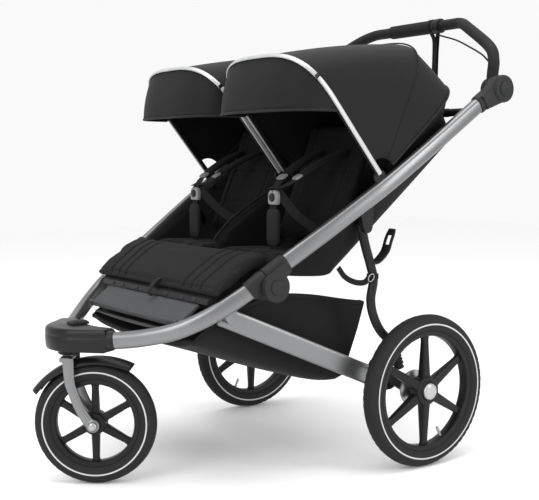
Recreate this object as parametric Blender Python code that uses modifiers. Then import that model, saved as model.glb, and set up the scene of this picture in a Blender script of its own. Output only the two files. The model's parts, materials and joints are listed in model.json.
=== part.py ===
"""Two-seat jogging stroller: folding aluminium frame, three air wheels, twin seats and canopies.

Metres, +Z up, front towards -Y, the rider's left side at +X. The shape is laid out from the
rear axle line (y = 0) and the floor (z = 0); a root empty then carries everything to the
model's origin, which is the middle of the footprint on the floor.
"""
import math

import bmesh
import bpy
from mathutils import Matrix, Vector

for old in list(bpy.data.objects):
    bpy.data.objects.remove(old, do_unlink=True)

# ---------------------------------------------------------------- driving dimensions
REAR_WHEEL_R = 0.190
FRONT_WHEEL_R = 0.145
HALF_TRACK = 0.382
WHEELBASE = 0.775            # rear axle line to the steering axis
TRAIL = 0.060                # steering axis to the front axle
REST_SWIVEL = math.radians(-36.6)
TYRE_W = 0.046
FRONT_TYRE_W = 0.044
RIM_DEPTH = 0.040            # tread to the rim's outer wall
GAP = 0.0004                 # clearance between touching pieces
RUNNING = 0.002              # clearance beside pieces that move

TUBE_W = 0.027               # oval frame tube, across
TUBE_H = 0.039               # oval frame tube, tall
HINGE_Y, HINGE_Z = -0.431, 0.475      # main fold axis
HINGE_X = 0.326              # middle of the frame tube at the fold
TUBE_RISE = 0.022            # tube centre line above the fold axis
HANDLE_X = 0.390             # frame tube at the handlebar
HANDLE_Y, HANDLE_Z = 0.236, 0.940     # handlebar tilt axis
HANDLE_R = 0.015
BAR_HALF = 0.150
BAR_Y, BAR_Z = 0.325, 1.137  # top bar of the handlebar
GRIP_FROM, GRIP_TO = -0.106, 0.074
GRIP_R = HANDLE_R + 0.004

NOSE_Z = 0.349
STRUT_Y, STRUT_Z = -0.518, 0.406      # strut pivot beside the lower tube
STRUT_X_FRONT, STRUT_X_REAR = 0.272, 0.316
STRUT_W, STRUT_H = 0.018, 0.048
LINK_Y, LINK_Z = -0.170, 0.600        # top pivot of the rear link
LINK_X = 0.338
LINK_R = 0.0115
ARM_Y, ARM_Z = -0.100, 0.240          # suspension arm pivot
CANOPY_Y, CANOPY_Z = -0.150, 0.720    # canopy pivot
CANOPY_R = 0.362
CANOPY_INNER, CANOPY_OUTER = 0.015, 0.386
RECLINE_Y, RECLINE_Z = -0.205, 0.535  # backrest pivot
SEAT_X = 0.163               # middle of one seat
SEAT_W = 0.262
POD_HALF = 0.309             # side wall of the seat sling
PAD_HALF = 0.303             # calf cushion

FRONT_REACH = WHEELBASE + 0.0781      # foremost point, on the mudguard
REAR_REACH = BAR_Y + 0.0203           # rearmost point, on the grip's end ring
ORIGIN_SHIFT = (FRONT_REACH - REAR_REACH) / 2

parts = bpy.data.collections.new("jogging_stroller")
cutters = bpy.data.collections.new("stroller_cutters")
bpy.context.scene.collection.children.link(parts)
bpy.context.scene.collection.children.link(cutters)


# ---------------------------------------------------------------- materials
def finish(name, color, roughness, metallic=0.0):
    mat = bpy.data.materials.new(name)
    mat.use_nodes = True
    shader = mat.node_tree.nodes["Principled BSDF"]
    shader.inputs["Base Color"].default_value = (*color, 1.0)
    shader.inputs["Roughness"].default_value = roughness
    shader.inputs["Metallic"].default_value = metallic
    return mat


ALUMINIUM = finish("satin_aluminium", (0.55, 0.56, 0.57), 0.35, 1.0)
HUB_SILVER = finish("hub_silver", (0.62, 0.62, 0.62), 0.3, 1.0)
STEEL = finish("dark_steel", (0.10, 0.10, 0.11), 0.4, 1.0)
BLACK_TUBE = finish("black_painted_tube", (0.02, 0.02, 0.021), 0.45)
PLASTIC = finish("dark_grey_plastic", (0.045, 0.046, 0.05), 0.5)
WHEEL_PLASTIC = finish("wheel_plastic", (0.022, 0.022, 0.023), 0.42)
RUBBER = finish("tyre_rubber", (0.03, 0.03, 0.031), 0.75)
FOAM = finish("grip_foam", (0.03, 0.03, 0.031), 0.85)
FABRIC = finish("black_fabric", (0.012, 0.012, 0.013), 0.9)
MAT_GREY = finish("foot_mat", (0.13, 0.13, 0.135), 0.7)


# ---------------------------------------------------------------- bodies
def frame_empty(name, location, parent=None, turn=0.0):
    """An empty on a joint's axis; its children are laid out in its own frame."""
    empty = bpy.data.objects.new(name, None)
    bpy.context.scene.collection.objects.link(empty)
    empty.parent = parent
    empty.location = location
    empty.rotation_euler = (0.0, 0.0, turn)
    return empty


origin = frame_empty("stroller_origin", (0.0, ORIGIN_SHIFT, 0.0))
caster = frame_empty("caster_axis", (0.0, -WHEELBASE, 0.0), origin, REST_SWIVEL)


def body(name, x, y, z, parent=origin):
    """A body's empty on its joint axis, remembered with its offset from the parent."""
    empty = frame_empty(name, (x, y, z), parent)
    return empty


MAIN = origin
LOWER = body("fold_axis", 0.0, HINGE_Y, HINGE_Z)
REAR = body("strut_axis", 0.0, STRUT_Y, STRUT_Z)
LINKS = body("link_axis", 0.0, LINK_Y, LINK_Z)
HANDLE = body("handle_axis", 0.0, HANDLE_Y, HANDLE_Z)
GRIP = body("grip_axis", 0.0, BAR_Y, BAR_Z)
FORK = caster
FRONT_WHEEL = body("front_wheel_axis", 0.0, TRAIL, FRONT_WHEEL_R, caster)
SIDES = {"left": 1.0, "right": -1.0}


def finish_piece(obj, material, holder, smooth_deg=35.0):
    """Give a piece its material and shading, and hang it on its joint's empty."""
    obj.data.materials.clear()
    obj.data.materials.append(material)
    if obj.type == "MESH":
        obj.data.shade_smooth()
        obj.data.set_sharp_from_angle(angle=math.radians(smooth_deg))
    for home in list(obj.users_collection):
        home.objects.unlink(obj)
    parts.objects.link(obj)
    if holder is not None:
        obj.parent = holder
        if holder not in (MAIN, FORK):
            obj.location = obj.location - holder.location
    return obj


def as_cutter(obj):
    obj.hide_render = True
    obj.display_type = "WIRE"
    for home in list(obj.users_collection):
        home.objects.unlink(obj)
    cutters.objects.link(obj)
    return obj


def boolean(obj, tool, operation):
    """Boolean with a tool laid out in the same frame, which then follows the piece."""
    as_cutter(tool)
    tool.parent = obj
    mod = obj.modifiers.new(operation.lower() + "_" + tool.name, "BOOLEAN")
    mod.operation = operation
    mod.solver = "EXACT"
    mod.object = tool
    return mod


def bevel(obj, width, segments=2, angle=40.0):
    mod = obj.modifiers.new("rounded_edges", "BEVEL")
    mod.width = width
    mod.segments = segments
    mod.limit_method = "ANGLE"
    mod.angle_limit = math.radians(angle)
    mod.use_clamp_overlap = True
    return mod


# ---------------------------------------------------------------- shape helpers
def new_object(name, mesh):
    obj = bpy.data.objects.new(name, mesh)
    bpy.context.scene.collection.objects.link(obj)
    return obj


def box(name, low, high):
    """A block between two corners, from a cube primitive."""
    mesh = bpy.data.meshes.new(name)
    bm = bmesh.new()
    bmesh.ops.create_cube(bm, size=1.0)
    size = Vector(high) - Vector(low)
    bmesh.ops.scale(bm, vec=size, verts=bm.verts)
    bmesh.ops.translate(bm, vec=(Vector(high) + Vector(low)) / 2, verts=bm.verts)
    bm.to_mesh(mesh)
    bm.free()
    return new_object(name, mesh)


def rod(name, start, end, radius, sides=20, end_radius=None):
    """A round bar from one point to another, from a cone primitive."""
    mesh = bpy.data.meshes.new(name)
    bm = bmesh.new()
    start, end = Vector(start), Vector(end)
    span = end - start
    top = radius if end_radius is None else end_radius
    bmesh.ops.create_cone(bm, cap_ends=True, segments=sides, radius1=radius, radius2=top,
                          depth=span.length)
    turn = Vector((0.0, 0.0, 1.0)).rotation_difference(span).to_matrix()
    bmesh.ops.rotate(bm, matrix=turn, verts=bm.verts)
    bmesh.ops.translate(bm, vec=(start + end) / 2, verts=bm.verts)
    bm.to_mesh(mesh)
    bm.free()
    return new_object(name, mesh)


def smooth_path(points, per_span=4):
    """A smooth run through hand-set points (Catmull-Rom), as a list of vectors."""
    pts = [Vector(p) for p in points]
    padded = [2 * pts[0] - pts[1]] + pts + [2 * pts[-1] - pts[-2]]
    run = []
    for i in range(1, len(padded) - 2):
        p0, p1, p2, p3 = padded[i - 1:i + 3]
        for k in range(per_span):
            t = k / per_span
            run.append(0.5 * ((2 * p1) + (p2 - p0) * t + (2 * p0 - 5 * p1 + 4 * p2 - p3) * t ** 2
                              + (3 * p1 - p0 - 3 * p2 + p3) * t ** 3))
    run.append(pts[-1])
    return run


def oval_section(name, width, height, sides=12, power=2.6):
    """A rounded-oval closed outline, used as a tube's section."""
    curve = bpy.data.curves.new(name, "CURVE")
    curve.dimensions = "2D"
    curve.fill_mode = "NONE"
    spline = curve.splines.new("POLY")
    spline.points.add(sides - 1)
    for i in range(sides):
        a = 2 * math.pi * i / sides
        c, s = math.cos(a), math.sin(a)
        x = math.copysign(abs(c) ** (2 / power), c) * width / 2
        y = math.copysign(abs(s) ** (2 / power), s) * height / 2
        spline.points[i].co = (x, y, 0.0, 1.0)
    spline.use_cyclic_u = True
    obj = bpy.data.objects.new(name, curve)
    bpy.context.scene.collection.objects.link(obj)
    return as_cutter(obj)


def curve_mesh(curve_obj, name):
    """Turn a curve object into a closed mesh object with welded caps."""
    bpy.context.view_layer.update()
    graph = bpy.context.evaluated_depsgraph_get()
    mesh = bpy.data.meshes.new_from_object(curve_obj.evaluated_get(graph))
    mesh.name = name
    bm = bmesh.new()
    bm.from_mesh(mesh)
    bmesh.ops.remove_doubles(bm, verts=bm.verts, dist=0.00001)
    bmesh.ops.recalc_face_normals(bm, faces=bm.faces)
    bm.to_mesh(mesh)
    bm.free()
    obj = new_object(name, mesh)
    obj.matrix_world = curve_obj.matrix_world
    bpy.data.objects.remove(curve_obj, do_unlink=True)
    return obj


def tube(name, points, radius=None, section=None, resolution=3):
    """A round or oval bar swept along points, as a welded mesh."""
    curve = bpy.data.curves.new(name + "_path", "CURVE")
    curve.dimensions = "3D"
    curve.twist_mode = "Z_UP"
    curve.render_resolution_u = 0
    spline = curve.splines.new("POLY")
    spline.points.add(len(points) - 1)
    for point, co in zip(spline.points, points):
        point.co = (*co, 1.0)
    if section is None:
        curve.bevel_depth = radius
        curve.bevel_resolution = resolution
    else:
        curve.bevel_mode = "OBJECT"
        curve.bevel_object = section
    curve.use_fill_caps = True
    obj = bpy.data.objects.new(name + "_path", curve)
    bpy.context.scene.collection.objects.link(obj)
    return curve_mesh(obj, name)


def plate(name, outline, low_x, high_x):
    """A flat outline in the side view (y, z), as thick as low_x to high_x."""
    curve = bpy.data.curves.new(name, "CURVE")
    curve.dimensions = "2D"
    curve.fill_mode = "BOTH"
    curve.extrude = (high_x - low_x) / 2
    spline = curve.splines.new("POLY")
    spline.points.add(len(outline) - 1)
    for point, (y, z) in zip(spline.points, outline):
        point.co = (y, z, 0.0, 1.0)
    spline.use_cyclic_u = True
    obj = bpy.data.objects.new(name + "_outline", curve)
    bpy.context.scene.collection.objects.link(obj)
    obj.rotation_euler = (math.pi / 2, 0.0, math.pi / 2)
    obj.location = ((low_x + high_x) / 2, 0.0, 0.0)
    flat = curve_mesh(obj, name)
    place = flat.matrix_world.copy()
    flat.data.transform(place)
    flat.matrix_world.identity()
    return flat


def turned(name, profile, steps, axis="X", sweep=360.0, half_step=True):
    """A closed or open (radius, offset) profile turned about an axis with a Screw modifier."""
    mesh = bpy.data.meshes.new(name)
    verts = [(r, 0.0, h) for r, h in profile]
    edges = [(i, (i + 1) % len(verts)) for i in range(len(verts))]
    mesh.from_pydata(verts, edges, [])
    obj = new_object(name, mesh)
    mod = obj.modifiers.new("turned", "SCREW")
    mod.axis = "Z"
    mod.angle = math.radians(sweep)
    mod.steps = steps
    mod.render_steps = steps
    mod.use_merge_vertices = True
    mod.merge_threshold = 0.00001
    mod.use_smooth_shade = True
    bpy.context.view_layer.update()
    graph = bpy.context.evaluated_depsgraph_get()
    solid = bpy.data.meshes.new_from_object(obj.evaluated_get(graph))
    solid.name = name
    bpy.data.objects.remove(obj, do_unlink=True)
    bm = bmesh.new()
    bm.from_mesh(solid)
    turn = math.pi / steps if half_step else 0.0
    bmesh.ops.rotate(bm, matrix=Matrix.Rotation(turn, 3, "Z"), verts=bm.verts)
    if axis == "X":
        bmesh.ops.rotate(bm, matrix=Matrix.Rotation(math.pi / 2, 3, "Y"), verts=bm.verts)
    bmesh.ops.recalc_face_normals(bm, faces=bm.faces)
    bm.to_mesh(solid)
    bm.free()
    return new_object(name, solid)


def sheet(name, rows, thickness):
    """A closed thin shell: a grid of points lofted to a surface, then thickened.

    A None in a row leaves the sheet open there.
    """
    mesh = bpy.data.meshes.new(name)
    verts = []
    number = {}
    for r, row in enumerate(rows):
        for c, point in enumerate(row):
            if point is not None:
                number[r, c] = len(verts)
                verts.append(tuple(point))
    faces = []
    for r in range(len(rows) - 1):
        for c in range(len(rows[0]) - 1):
            corners = [(r, c), (r, c + 1), (r + 1, c + 1), (r + 1, c)]
            if all(corner in number for corner in corners):
                faces.append([number[corner] for corner in corners])
    mesh.from_pydata(verts, [], faces)
    obj = new_object(name, mesh)
    mod = obj.modifiers.new("thickness", "SOLIDIFY")
    mod.thickness = thickness
    mod.offset = 0.0
    mod.use_even_offset = False
    return obj


def mirrored_points(points, side):
    return [(p[0] * side, p[1], p[2]) for p in points]


def span(side, inner, outer):
    """Low and high x of a slab that lies between two distances from the centre."""
    return (min(inner * side, outer * side), max(inner * side, outer * side))


# ---------------------------------------------------------------- frame tubes
TUBE_DIR = Vector((0.0, HANDLE_Y - HINGE_Y, HANDLE_Z - HINGE_Z - TUBE_RISE)).normalized()
TUBE_UP = Vector((0.0, -TUBE_DIR.z, TUBE_DIR.y))
FOLD = Vector((0.0, HINGE_Y, HINGE_Z))
HANDLE_POINT = Vector((0.0, HANDLE_Y, HANDLE_Z))
TUBE_START = 0.030           # along the tube, fold axis to the upper tube's end
HANDLE_CLEAR = 0.034         # handlebar axis to the upper tube's end


def along_tube(distance, x, rise=TUBE_RISE):
    """A point beside the fold axis, measured along the upper tube."""
    return FOLD + TUBE_DIR * distance + TUBE_UP * rise + Vector((x, 0.0, 0.0))


TUBE_RUN = (HANDLE_POINT - FOLD).dot(TUBE_DIR) - HANDLE_CLEAR
FLARE = HANDLE_X - HINGE_X   # how far the tube opens outwards on its way up
UPPER_STATIONS = [
    along_tube(TUBE_START, HINGE_X + 0.05 * FLARE),
    along_tube(0.19, HINGE_X + 0.47 * FLARE),
    along_tube(0.30, HINGE_X + 0.72 * FLARE),
    along_tube(0.38, HINGE_X + 0.88 * FLARE),
    along_tube(0.50, HANDLE_X - 0.002),
    along_tube(0.62, HANDLE_X),
    along_tube(TUBE_RUN, HANDLE_X),
]
NOSE_ARM = (0.100, -WHEELBASE + 0.0415)  # where the lower tube leaves the nose casting
LOWER_STATIONS = [
    (NOSE_ARM[0], NOSE_ARM[1], NOSE_Z),
    (0.144, -WHEELBASE + 0.074, NOSE_Z + 0.0045),
    (0.188, -WHEELBASE + 0.107, NOSE_Z + 0.0135),
    (0.232, -0.631, NOSE_Z + 0.027),
    (0.266, -0.592, NOSE_Z + 0.047),
    (0.295, -0.545, NOSE_Z + 0.076),
    (0.318, -0.483, HINGE_Z - 0.010),
    tuple(along_tube(-TUBE_START, HINGE_X - 0.05 * FLARE)),
]
tube_section = oval_section("frame_tube_section", TUBE_W, TUBE_H)
socket_section = oval_section("frame_socket_section", TUBE_W + 2 * GAP, TUBE_H + 2 * GAP)


UPPER_RUN = smooth_path(UPPER_STATIONS, 1)
LOWER_RUN = smooth_path(LOWER_STATIONS, 2)
PIN_R = 0.005
PIN_HEAD_R, PIN_HEAD_T = 0.0095, 0.0025
BRACKET_R = 0.013            # round of a welded bracket about its pin


def add_pin(piece, name, side, y, z, outer_x, inner_x):
    """A pivot pin welded into a bracket, with a flat head at its inner end."""
    boolean(piece, rod(name, (outer_x * side, y, z), ((inner_x - PIN_HEAD_T / 2) * side, y, z), PIN_R, 16),
            "UNION")
    boolean(piece, rod(name + "_head", (inner_x * side, y, z), ((inner_x - PIN_HEAD_T) * side, y, z),
                       PIN_HEAD_R, 20), "UNION")


LINK_TAB = (LINK_X + LINK_R + 0.001, LINK_X + LINK_R + 0.0145)     # across: from the link into the tube
STRUT_TAB = (STRUT_X_FRONT + STRUT_W / 2 + 0.0025, STRUT_X_FRONT + STRUT_W / 2 + 0.021)
for side_name, side in SIDES.items():
    upper = tube("upper_tube_" + side_name, mirrored_points(UPPER_RUN, side),
                 section=tube_section)
    finish_piece(upper, ALUMINIUM, None)
    tab_top = along_tube((LINK_Y - HINGE_Y) / TUBE_DIR.y, 0)
    link_tab = [(tab_top.y - 0.020, tab_top.z - 0.008), (LINK_Y - BRACKET_R, LINK_Z),
                (LINK_Y - BRACKET_R / 2, LINK_Z - BRACKET_R), (LINK_Y + BRACKET_R / 2, LINK_Z - BRACKET_R),
                (LINK_Y + BRACKET_R, LINK_Z), (tab_top.y + 0.032, tab_top.z + 0.020)]
    low_x, high_x = span(side, *LINK_TAB)
    boolean(upper, plate("link_tab_" + side_name, link_tab, low_x, high_x), "UNION")
    add_pin(upper, "link_pin_" + side_name, side, LINK_Y, LINK_Z, LINK_TAB[0] + 0.004,
            LINK_X - LINK_R - RUNNING)
    finish_piece(upper, ALUMINIUM, MAIN)
    lower = tube("lower_tube_" + side_name, mirrored_points(LOWER_RUN, side),
                 section=tube_section)
    finish_piece(lower, ALUMINIUM, None)
    strut_tab = [(STRUT_Y - 0.026, STRUT_Z + 0.020), (STRUT_Y - BRACKET_R, STRUT_Z - BRACKET_R / 2),
                 (STRUT_Y, STRUT_Z - BRACKET_R), (STRUT_Y + BRACKET_R, STRUT_Z - BRACKET_R / 2),
                 (STRUT_Y + 0.020, STRUT_Z + 0.050)]
    low_x, high_x = span(side, *STRUT_TAB)
    boolean(lower, plate("strut_tab_" + side_name, strut_tab, low_x, high_x), "UNION")
    add_pin(lower, "strut_pin_" + side_name, side, STRUT_Y, STRUT_Z, STRUT_TAB[0] + 0.004,
            STRUT_X_FRONT - STRUT_W / 2 - RUNNING)
    finish_piece(lower, ALUMINIUM, LOWER)

# ---------------------------------------------------------------- fold hinges
EAR_R = 0.034
EAR_T = 0.013
SLEEVE_LONG = 0.062
SLEEVE_GAP = 0.0012          # gap between the two sleeves on the fold plane
OUTER_EAR = HINGE_X + TUBE_W / 2 + 0.0052
INNER_EAR = HINGE_X - TUBE_W / 2 - 0.0072


SLEEVE_WALL = 0.0035
sleeve_section = oval_section("frame_sleeve_section", TUBE_W + 2 * SLEEVE_WALL, TUBE_H + 2 * SLEEVE_WALL)


def fold_cover(name, side, path, run, ear_near, ear_far, neck_reach):
    """A cast sleeve on a tube's end with a round ear on the fold axis."""
    sleeve = tube(name, mirrored_points(path, side), section=sleeve_section)
    ear = rod(name + "_ear", FOLD + Vector((ear_near * side, 0, 0)),
              FOLD + Vector((ear_far * side, 0, 0)), EAR_R, 24)
    boolean(sleeve, ear, "UNION")
    direction = math.copysign(1.0, neck_reach)
    neck = [along_tube(0.004 * direction, 0, 0.000), along_tube(neck_reach, 0, 0.006),
            along_tube(neck_reach, 0, 0.034), along_tube(0.002 * direction, 0, 0.032)]
    low_x, high_x = span(side, HINGE_X, ear_far)
    boolean(sleeve, plate(name + "_neck", [(p.y, p.z) for p in neck], low_x, high_x), "UNION")
    bore = rod(name + "_bore", FOLD + Vector((0.28 * side, 0, 0)),
               FOLD + Vector((0.38 * side, 0, 0)), PIN_R + GAP, 20)
    boolean(sleeve, bore, "DIFFERENCE")
    socket = tube(name + "_socket", mirrored_points(run, side),
                  section=socket_section)
    boolean(sleeve, socket, "DIFFERENCE")
    return sleeve


UPPER_SLEEVE = [along_tube(SLEEVE_GAP, HINGE_X), UPPER_STATIONS[0],
                along_tube(SLEEVE_LONG, HINGE_X + 0.145 * FLARE)]
LOWER_SLEEVE = [along_tube(-SLEEVE_GAP, HINGE_X), LOWER_STATIONS[-1], LOWER_STATIONS[-2]]


def bolt(name, start, end, radius, head_r, head_t):
    """A headed pivot bolt from start to end, with its head past the start."""
    start, end = Vector(start), Vector(end)
    out = (start - end).normalized()
    shank = rod(name, start + out * head_t / 2, end, radius, 16)
    head = rod(name + "_head", start + out * head_t, start, head_r, 20)
    finish_piece(shank, STEEL, None)
    boolean(shank, head, "UNION")
    return finish_piece(shank, STEEL, MAIN)


for side_name, side in SIDES.items():
    cover = fold_cover("fold_cover_upper_" + side_name, side, UPPER_SLEEVE, UPPER_RUN,
                       OUTER_EAR, OUTER_EAR + EAR_T, 0.052)
    finish_piece(cover, PLASTIC, MAIN)
    cover = fold_cover("fold_cover_lower_" + side_name, side, LOWER_SLEEVE, LOWER_RUN,
                       INNER_EAR, INNER_EAR - EAR_T, -0.040)
    finish_piece(cover, PLASTIC, LOWER)
    bolt("fold_bolt_" + side_name, FOLD + Vector(((OUTER_EAR + EAR_T + GAP) * side, 0, 0)),
         FOLD + Vector(((INNER_EAR - EAR_T - 0.003) * side, 0, 0)), PIN_R, 0.017, 0.0025)

# ---------------------------------------------------------------- nose casting and caster
NOSE_T = 0.054
NOSE_TIP_Y = -WHEELBASE - 0.051
COLLAR_R, COLLAR_DROP = 0.027, 0.014
STEM_R = 0.010
nose_outline = [(0.0, NOSE_TIP_Y), (0.036, NOSE_TIP_Y + 0.006), (0.064, NOSE_TIP_Y + 0.026),
                (0.088, NOSE_TIP_Y + 0.055), (0.120, NOSE_TIP_Y + 0.086), (0.100, NOSE_TIP_Y + 0.122),
                (0.070, NOSE_TIP_Y + 0.104), (0.034, NOSE_TIP_Y + 0.098)]
nose_outline += [(-x, y) for x, y in reversed(nose_outline[1:])]
curve = bpy.data.curves.new("nose_outline", "CURVE")
curve.dimensions = "2D"
curve.fill_mode = "BOTH"
curve.extrude = NOSE_T / 2
spline = curve.splines.new("POLY")
spline.points.add(len(nose_outline) - 1)
for point, (x, y) in zip(spline.points, nose_outline):
    point.co = (x, y, 0.0, 1.0)
spline.use_cyclic_u = True
nose_curve = bpy.data.objects.new("nose_outline", curve)
bpy.context.scene.collection.objects.link(nose_curve)
nose_curve.location = (0.0, 0.0, NOSE_Z)
nose = curve_mesh(nose_curve, "nose_housing")
nose.data.transform(Matrix.Translation((0.0, 0.0, NOSE_Z)))
nose.matrix_world.identity()
finish_piece(nose, PLASTIC, None)
bevel(nose, 0.009, 2, 50)
collar = rod("steering_collar", (0, -WHEELBASE, NOSE_Z - NOSE_T / 2 - COLLAR_DROP),
             (0, -WHEELBASE, NOSE_Z), COLLAR_R, 28)
boolean(nose, collar, "UNION")
stem_bore = rod("stem_bore", (0, -WHEELBASE, NOSE_Z - 0.06), (0, -WHEELBASE, NOSE_Z + 0.012),
                STEM_R + 0.0005, 24)
boolean(nose, stem_bore, "DIFFERENCE")
for side_name, side in SIDES.items():
    run = mirrored_points(LOWER_RUN, side)
    socket = tube("nose_socket_" + side_name, run[:4], section=socket_section)
    boolean(nose, socket, "DIFFERENCE")
nose = finish_piece(nose, PLASTIC, LOWER, 30)

LOCK_TOP = NOSE_Z + NOSE_T / 2
lock = box("swivel_lock", (-0.016, NOSE_TIP_Y + 0.052, LOCK_TOP + 0.0006),
           (0.016, NOSE_TIP_Y + 0.096, LOCK_TOP + 0.009))
finish_piece(lock, PLASTIC, LOWER)
bevel(lock, 0.003)

CROWN_Z = NOSE_Z - NOSE_T / 2 - COLLAR_DROP - RUNNING
BLADE_X = 0.0365
BLADE_W, BLADE_T = 0.027, 0.011
blade_section = oval_section("fork_blade_section", BLADE_T, BLADE_W, 8, 3.0)
BLADE_RUN = [(0.004, CROWN_Z - 0.004), (0.007, CROWN_Z - 0.055), (0.013, 0.228), (0.029, 0.187),
             (0.049, FRONT_WHEEL_R + 0.010)]
CROWN_T = 0.012
crown = box("fork", (-BLADE_X - BLADE_T / 2, -0.017, CROWN_Z - CROWN_T),
            (BLADE_X + BLADE_T / 2, 0.012, CROWN_Z))
finish_piece(crown, ALUMINIUM, None)
bevel(crown, 0.005)
stem = rod("fork_stem", (0, 0, CROWN_Z - 0.004), (0, 0, NOSE_Z + 0.008), STEM_R, 24)
boolean(crown, stem, "UNION")
for side_name, side in SIDES.items():
    blade = tube("blade_" + side_name,
                 smooth_path([(BLADE_X * side, y, z) for y, z in BLADE_RUN], 2),
                 section=blade_section)
    boolean(crown, blade, "UNION")
    dropout = rod("dropout_" + side_name, ((BLADE_X - BLADE_T / 2) * side, TRAIL, FRONT_WHEEL_R),
                  ((BLADE_X + BLADE_T / 2) * side, TRAIL, FRONT_WHEEL_R), 0.015, 24)
    boolean(crown, dropout, "UNION")
AXLE_R = 0.006
axle_bore = rod("front_axle_bore", (-0.06, TRAIL, FRONT_WHEEL_R), (0.06, TRAIL, FRONT_WHEEL_R),
                AXLE_R + GAP, 20)
boolean(crown, axle_bore, "DIFFERENCE")
finish_piece(crown, ALUMINIUM, FORK, 40)

axle = rod("front_axle", (-0.049, TRAIL, FRONT_WHEEL_R), (0.049, TRAIL, FRONT_WHEEL_R), AXLE_R, 20)
finish_piece(axle, STEEL, None)
for side in SIDES.values():
    nut = rod("axle_nut", ((BLADE_X + BLADE_T / 2 + GAP) * side, TRAIL, FRONT_WHEEL_R),
              (0.0505 * side, TRAIL, FRONT_WHEEL_R), 0.0115, 24)
    boolean(axle, nut, "UNION")
finish_piece(axle, STEEL, FORK)

FENDER_R = FRONT_WHEEL_R + 0.0105
FENDER_FLARE = 0.010         # how far the tips stand off the arc
FENDER_HALF = 0.0295
FENDER_T = 0.003
FENDER_FROM, FENDER_TO = 56, 152
rows = []
for i in range(11):
    sweep = -1 + i / 5
    a = math.radians((FENDER_FROM + FENDER_TO) / 2 + sweep * (FENDER_TO - FENDER_FROM) / 2)
    row = []
    for j in range(5):
        u = -1 + j / 2
        r = FENDER_R + FENDER_FLARE * sweep ** 2 - 0.014 * abs(u) ** 3
        row.append((FENDER_HALF * u, TRAIL + r * math.cos(a), FRONT_WHEEL_R + r * math.sin(a)))
    rows.append(row)
fender = sheet("fender", rows, FENDER_T)
finish_piece(fender, PLASTIC, FORK, 50)


# ---------------------------------------------------------------- wheels
def wheel(prefix, suffix, radius, tyre_w, holder, center, hub_r, hub_half, spoke_in, spoke_out,
          bore_r, steps):
    """A pneumatic tyre on a moulded six-spoke wheel; both turn about the axle."""
    x, y, z = center
    rim_r = radius - RIM_DEPTH
    over = 1.0 / math.cos(math.pi / steps)
    crown_flat = 0.006
    section = [(rim_r + GAP, tyre_w * 0.34), (radius - 0.020, tyre_w / 2), (radius - 0.006, tyre_w * 0.36),
               (radius, crown_flat), (radius, -crown_flat), (radius - 0.006, -tyre_w * 0.36),
               (radius - 0.020, -tyre_w / 2), (rim_r + GAP, -tyre_w * 0.34)]
    tyre = turned(prefix + "_tyre" + suffix, [(r * over, h) for r, h in section], steps)
    rim_in = rim_r - 0.012
    rim_section = [(rim_r, tyre_w * 0.34), (rim_r, -tyre_w * 0.34), (rim_in, -tyre_w * 0.30),
                   (rim_in, tyre_w * 0.30)]
    rim = turned(prefix + "_rim" + suffix, [(r * over, h) for r, h in rim_section], steps)
    finish_piece(rim, WHEEL_PLASTIC, None)
    hub = rod("hub", (-hub_half, 0, 0), (hub_half, 0, 0), hub_r, 24)
    boolean(rim, hub, "UNION")
    for k in range(6):
        a = math.pi / 2 + k * math.pi / 3
        spoke = box("spoke", (-0.007, -0.5, 0), (0.007, 0.5, 1))
        reach = rim_in + 0.004
        for vert in spoke.data.vertices:
            wide = spoke_in if vert.co.z < 0.5 else spoke_out
            vert.co.y = math.copysign(wide / 2, vert.co.y)
            vert.co.z = hub_r * 0.6 if vert.co.z < 0.5 else reach
        spoke.data.transform(Matrix.Rotation(a - math.pi / 2, 4, "X"))
        boolean(rim, spoke, "UNION")
    bore = rod("wheel_bore", (-0.08, 0, 0), (0.08, 0, 0), bore_r, 20)
    boolean(rim, bore, "DIFFERENCE")
    for piece, material in ((tyre, RUBBER), (rim, WHEEL_PLASTIC)):
        finish_piece(piece, material, None, 40)
        piece.parent = holder
        piece.location = (x, 0, 0)
    return tyre, rim


wheel("front", "", FRONT_WHEEL_R, FRONT_TYRE_W, FRONT_WHEEL, (0, TRAIL, FRONT_WHEEL_R), 0.026, 0.0285,
      0.018, 0.015, AXLE_R + GAP, 32)

HUB_R = 0.036
HUB_HALF = 0.021
STUB_R = 0.008
BUTTON_R = 0.021
BUTTON_POCKET = 0.007
WHEEL_OUT = HALF_TRACK + HUB_HALF
for side_name, side in SIDES.items():
    hub_empty = body("rear_wheel_axis_" + side_name, 0.0, 0.0, REAR_WHEEL_R)
    tyre, rim = wheel("rear", "_" + side_name, REAR_WHEEL_R, TYRE_W, hub_empty,
                      (HALF_TRACK * side, 0, REAR_WHEEL_R), HUB_R, HUB_HALF, 0.024, 0.016,
                      STUB_R + GAP, 40)
    boolean(rim, rod("button_pocket_" + side_name, ((HUB_HALF - BUTTON_POCKET) * side, 0, 0),
                     ((HUB_HALF + 0.01) * side, 0, 0), BUTTON_R + 0.0006, 32), "DIFFERENCE")
    button = rod("hub_button_" + side_name, ((WHEEL_OUT - 0.0015) * side, 0, REAR_WHEEL_R),
                 ((WHEEL_OUT + 0.0065) * side, 0, REAR_WHEEL_R), BUTTON_R, 24)
    finish_piece(button, HUB_SILVER, MAIN)
    bevel(button, 0.0025, 1)

# ---------------------------------------------------------------- rear frame
AXLE_X = 0.334               # suspension arm's middle
ARM_T = 0.012
BEAM_Y, BEAM_Z = -0.060, 0.207
BRACKET_IN, BRACKET_OUT = 0.306, 0.326
DRUM_R, DRUM_T = 0.046, 0.011
STRUT_END_Y, STRUT_END_Z = -0.115, 0.228
strut_section = oval_section("strut_section", STRUT_W, STRUT_H, 12, 5.0)
STRUT_LONG = math.dist((STRUT_Y, STRUT_Z), (STRUT_END_Y, STRUT_END_Z))


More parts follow.
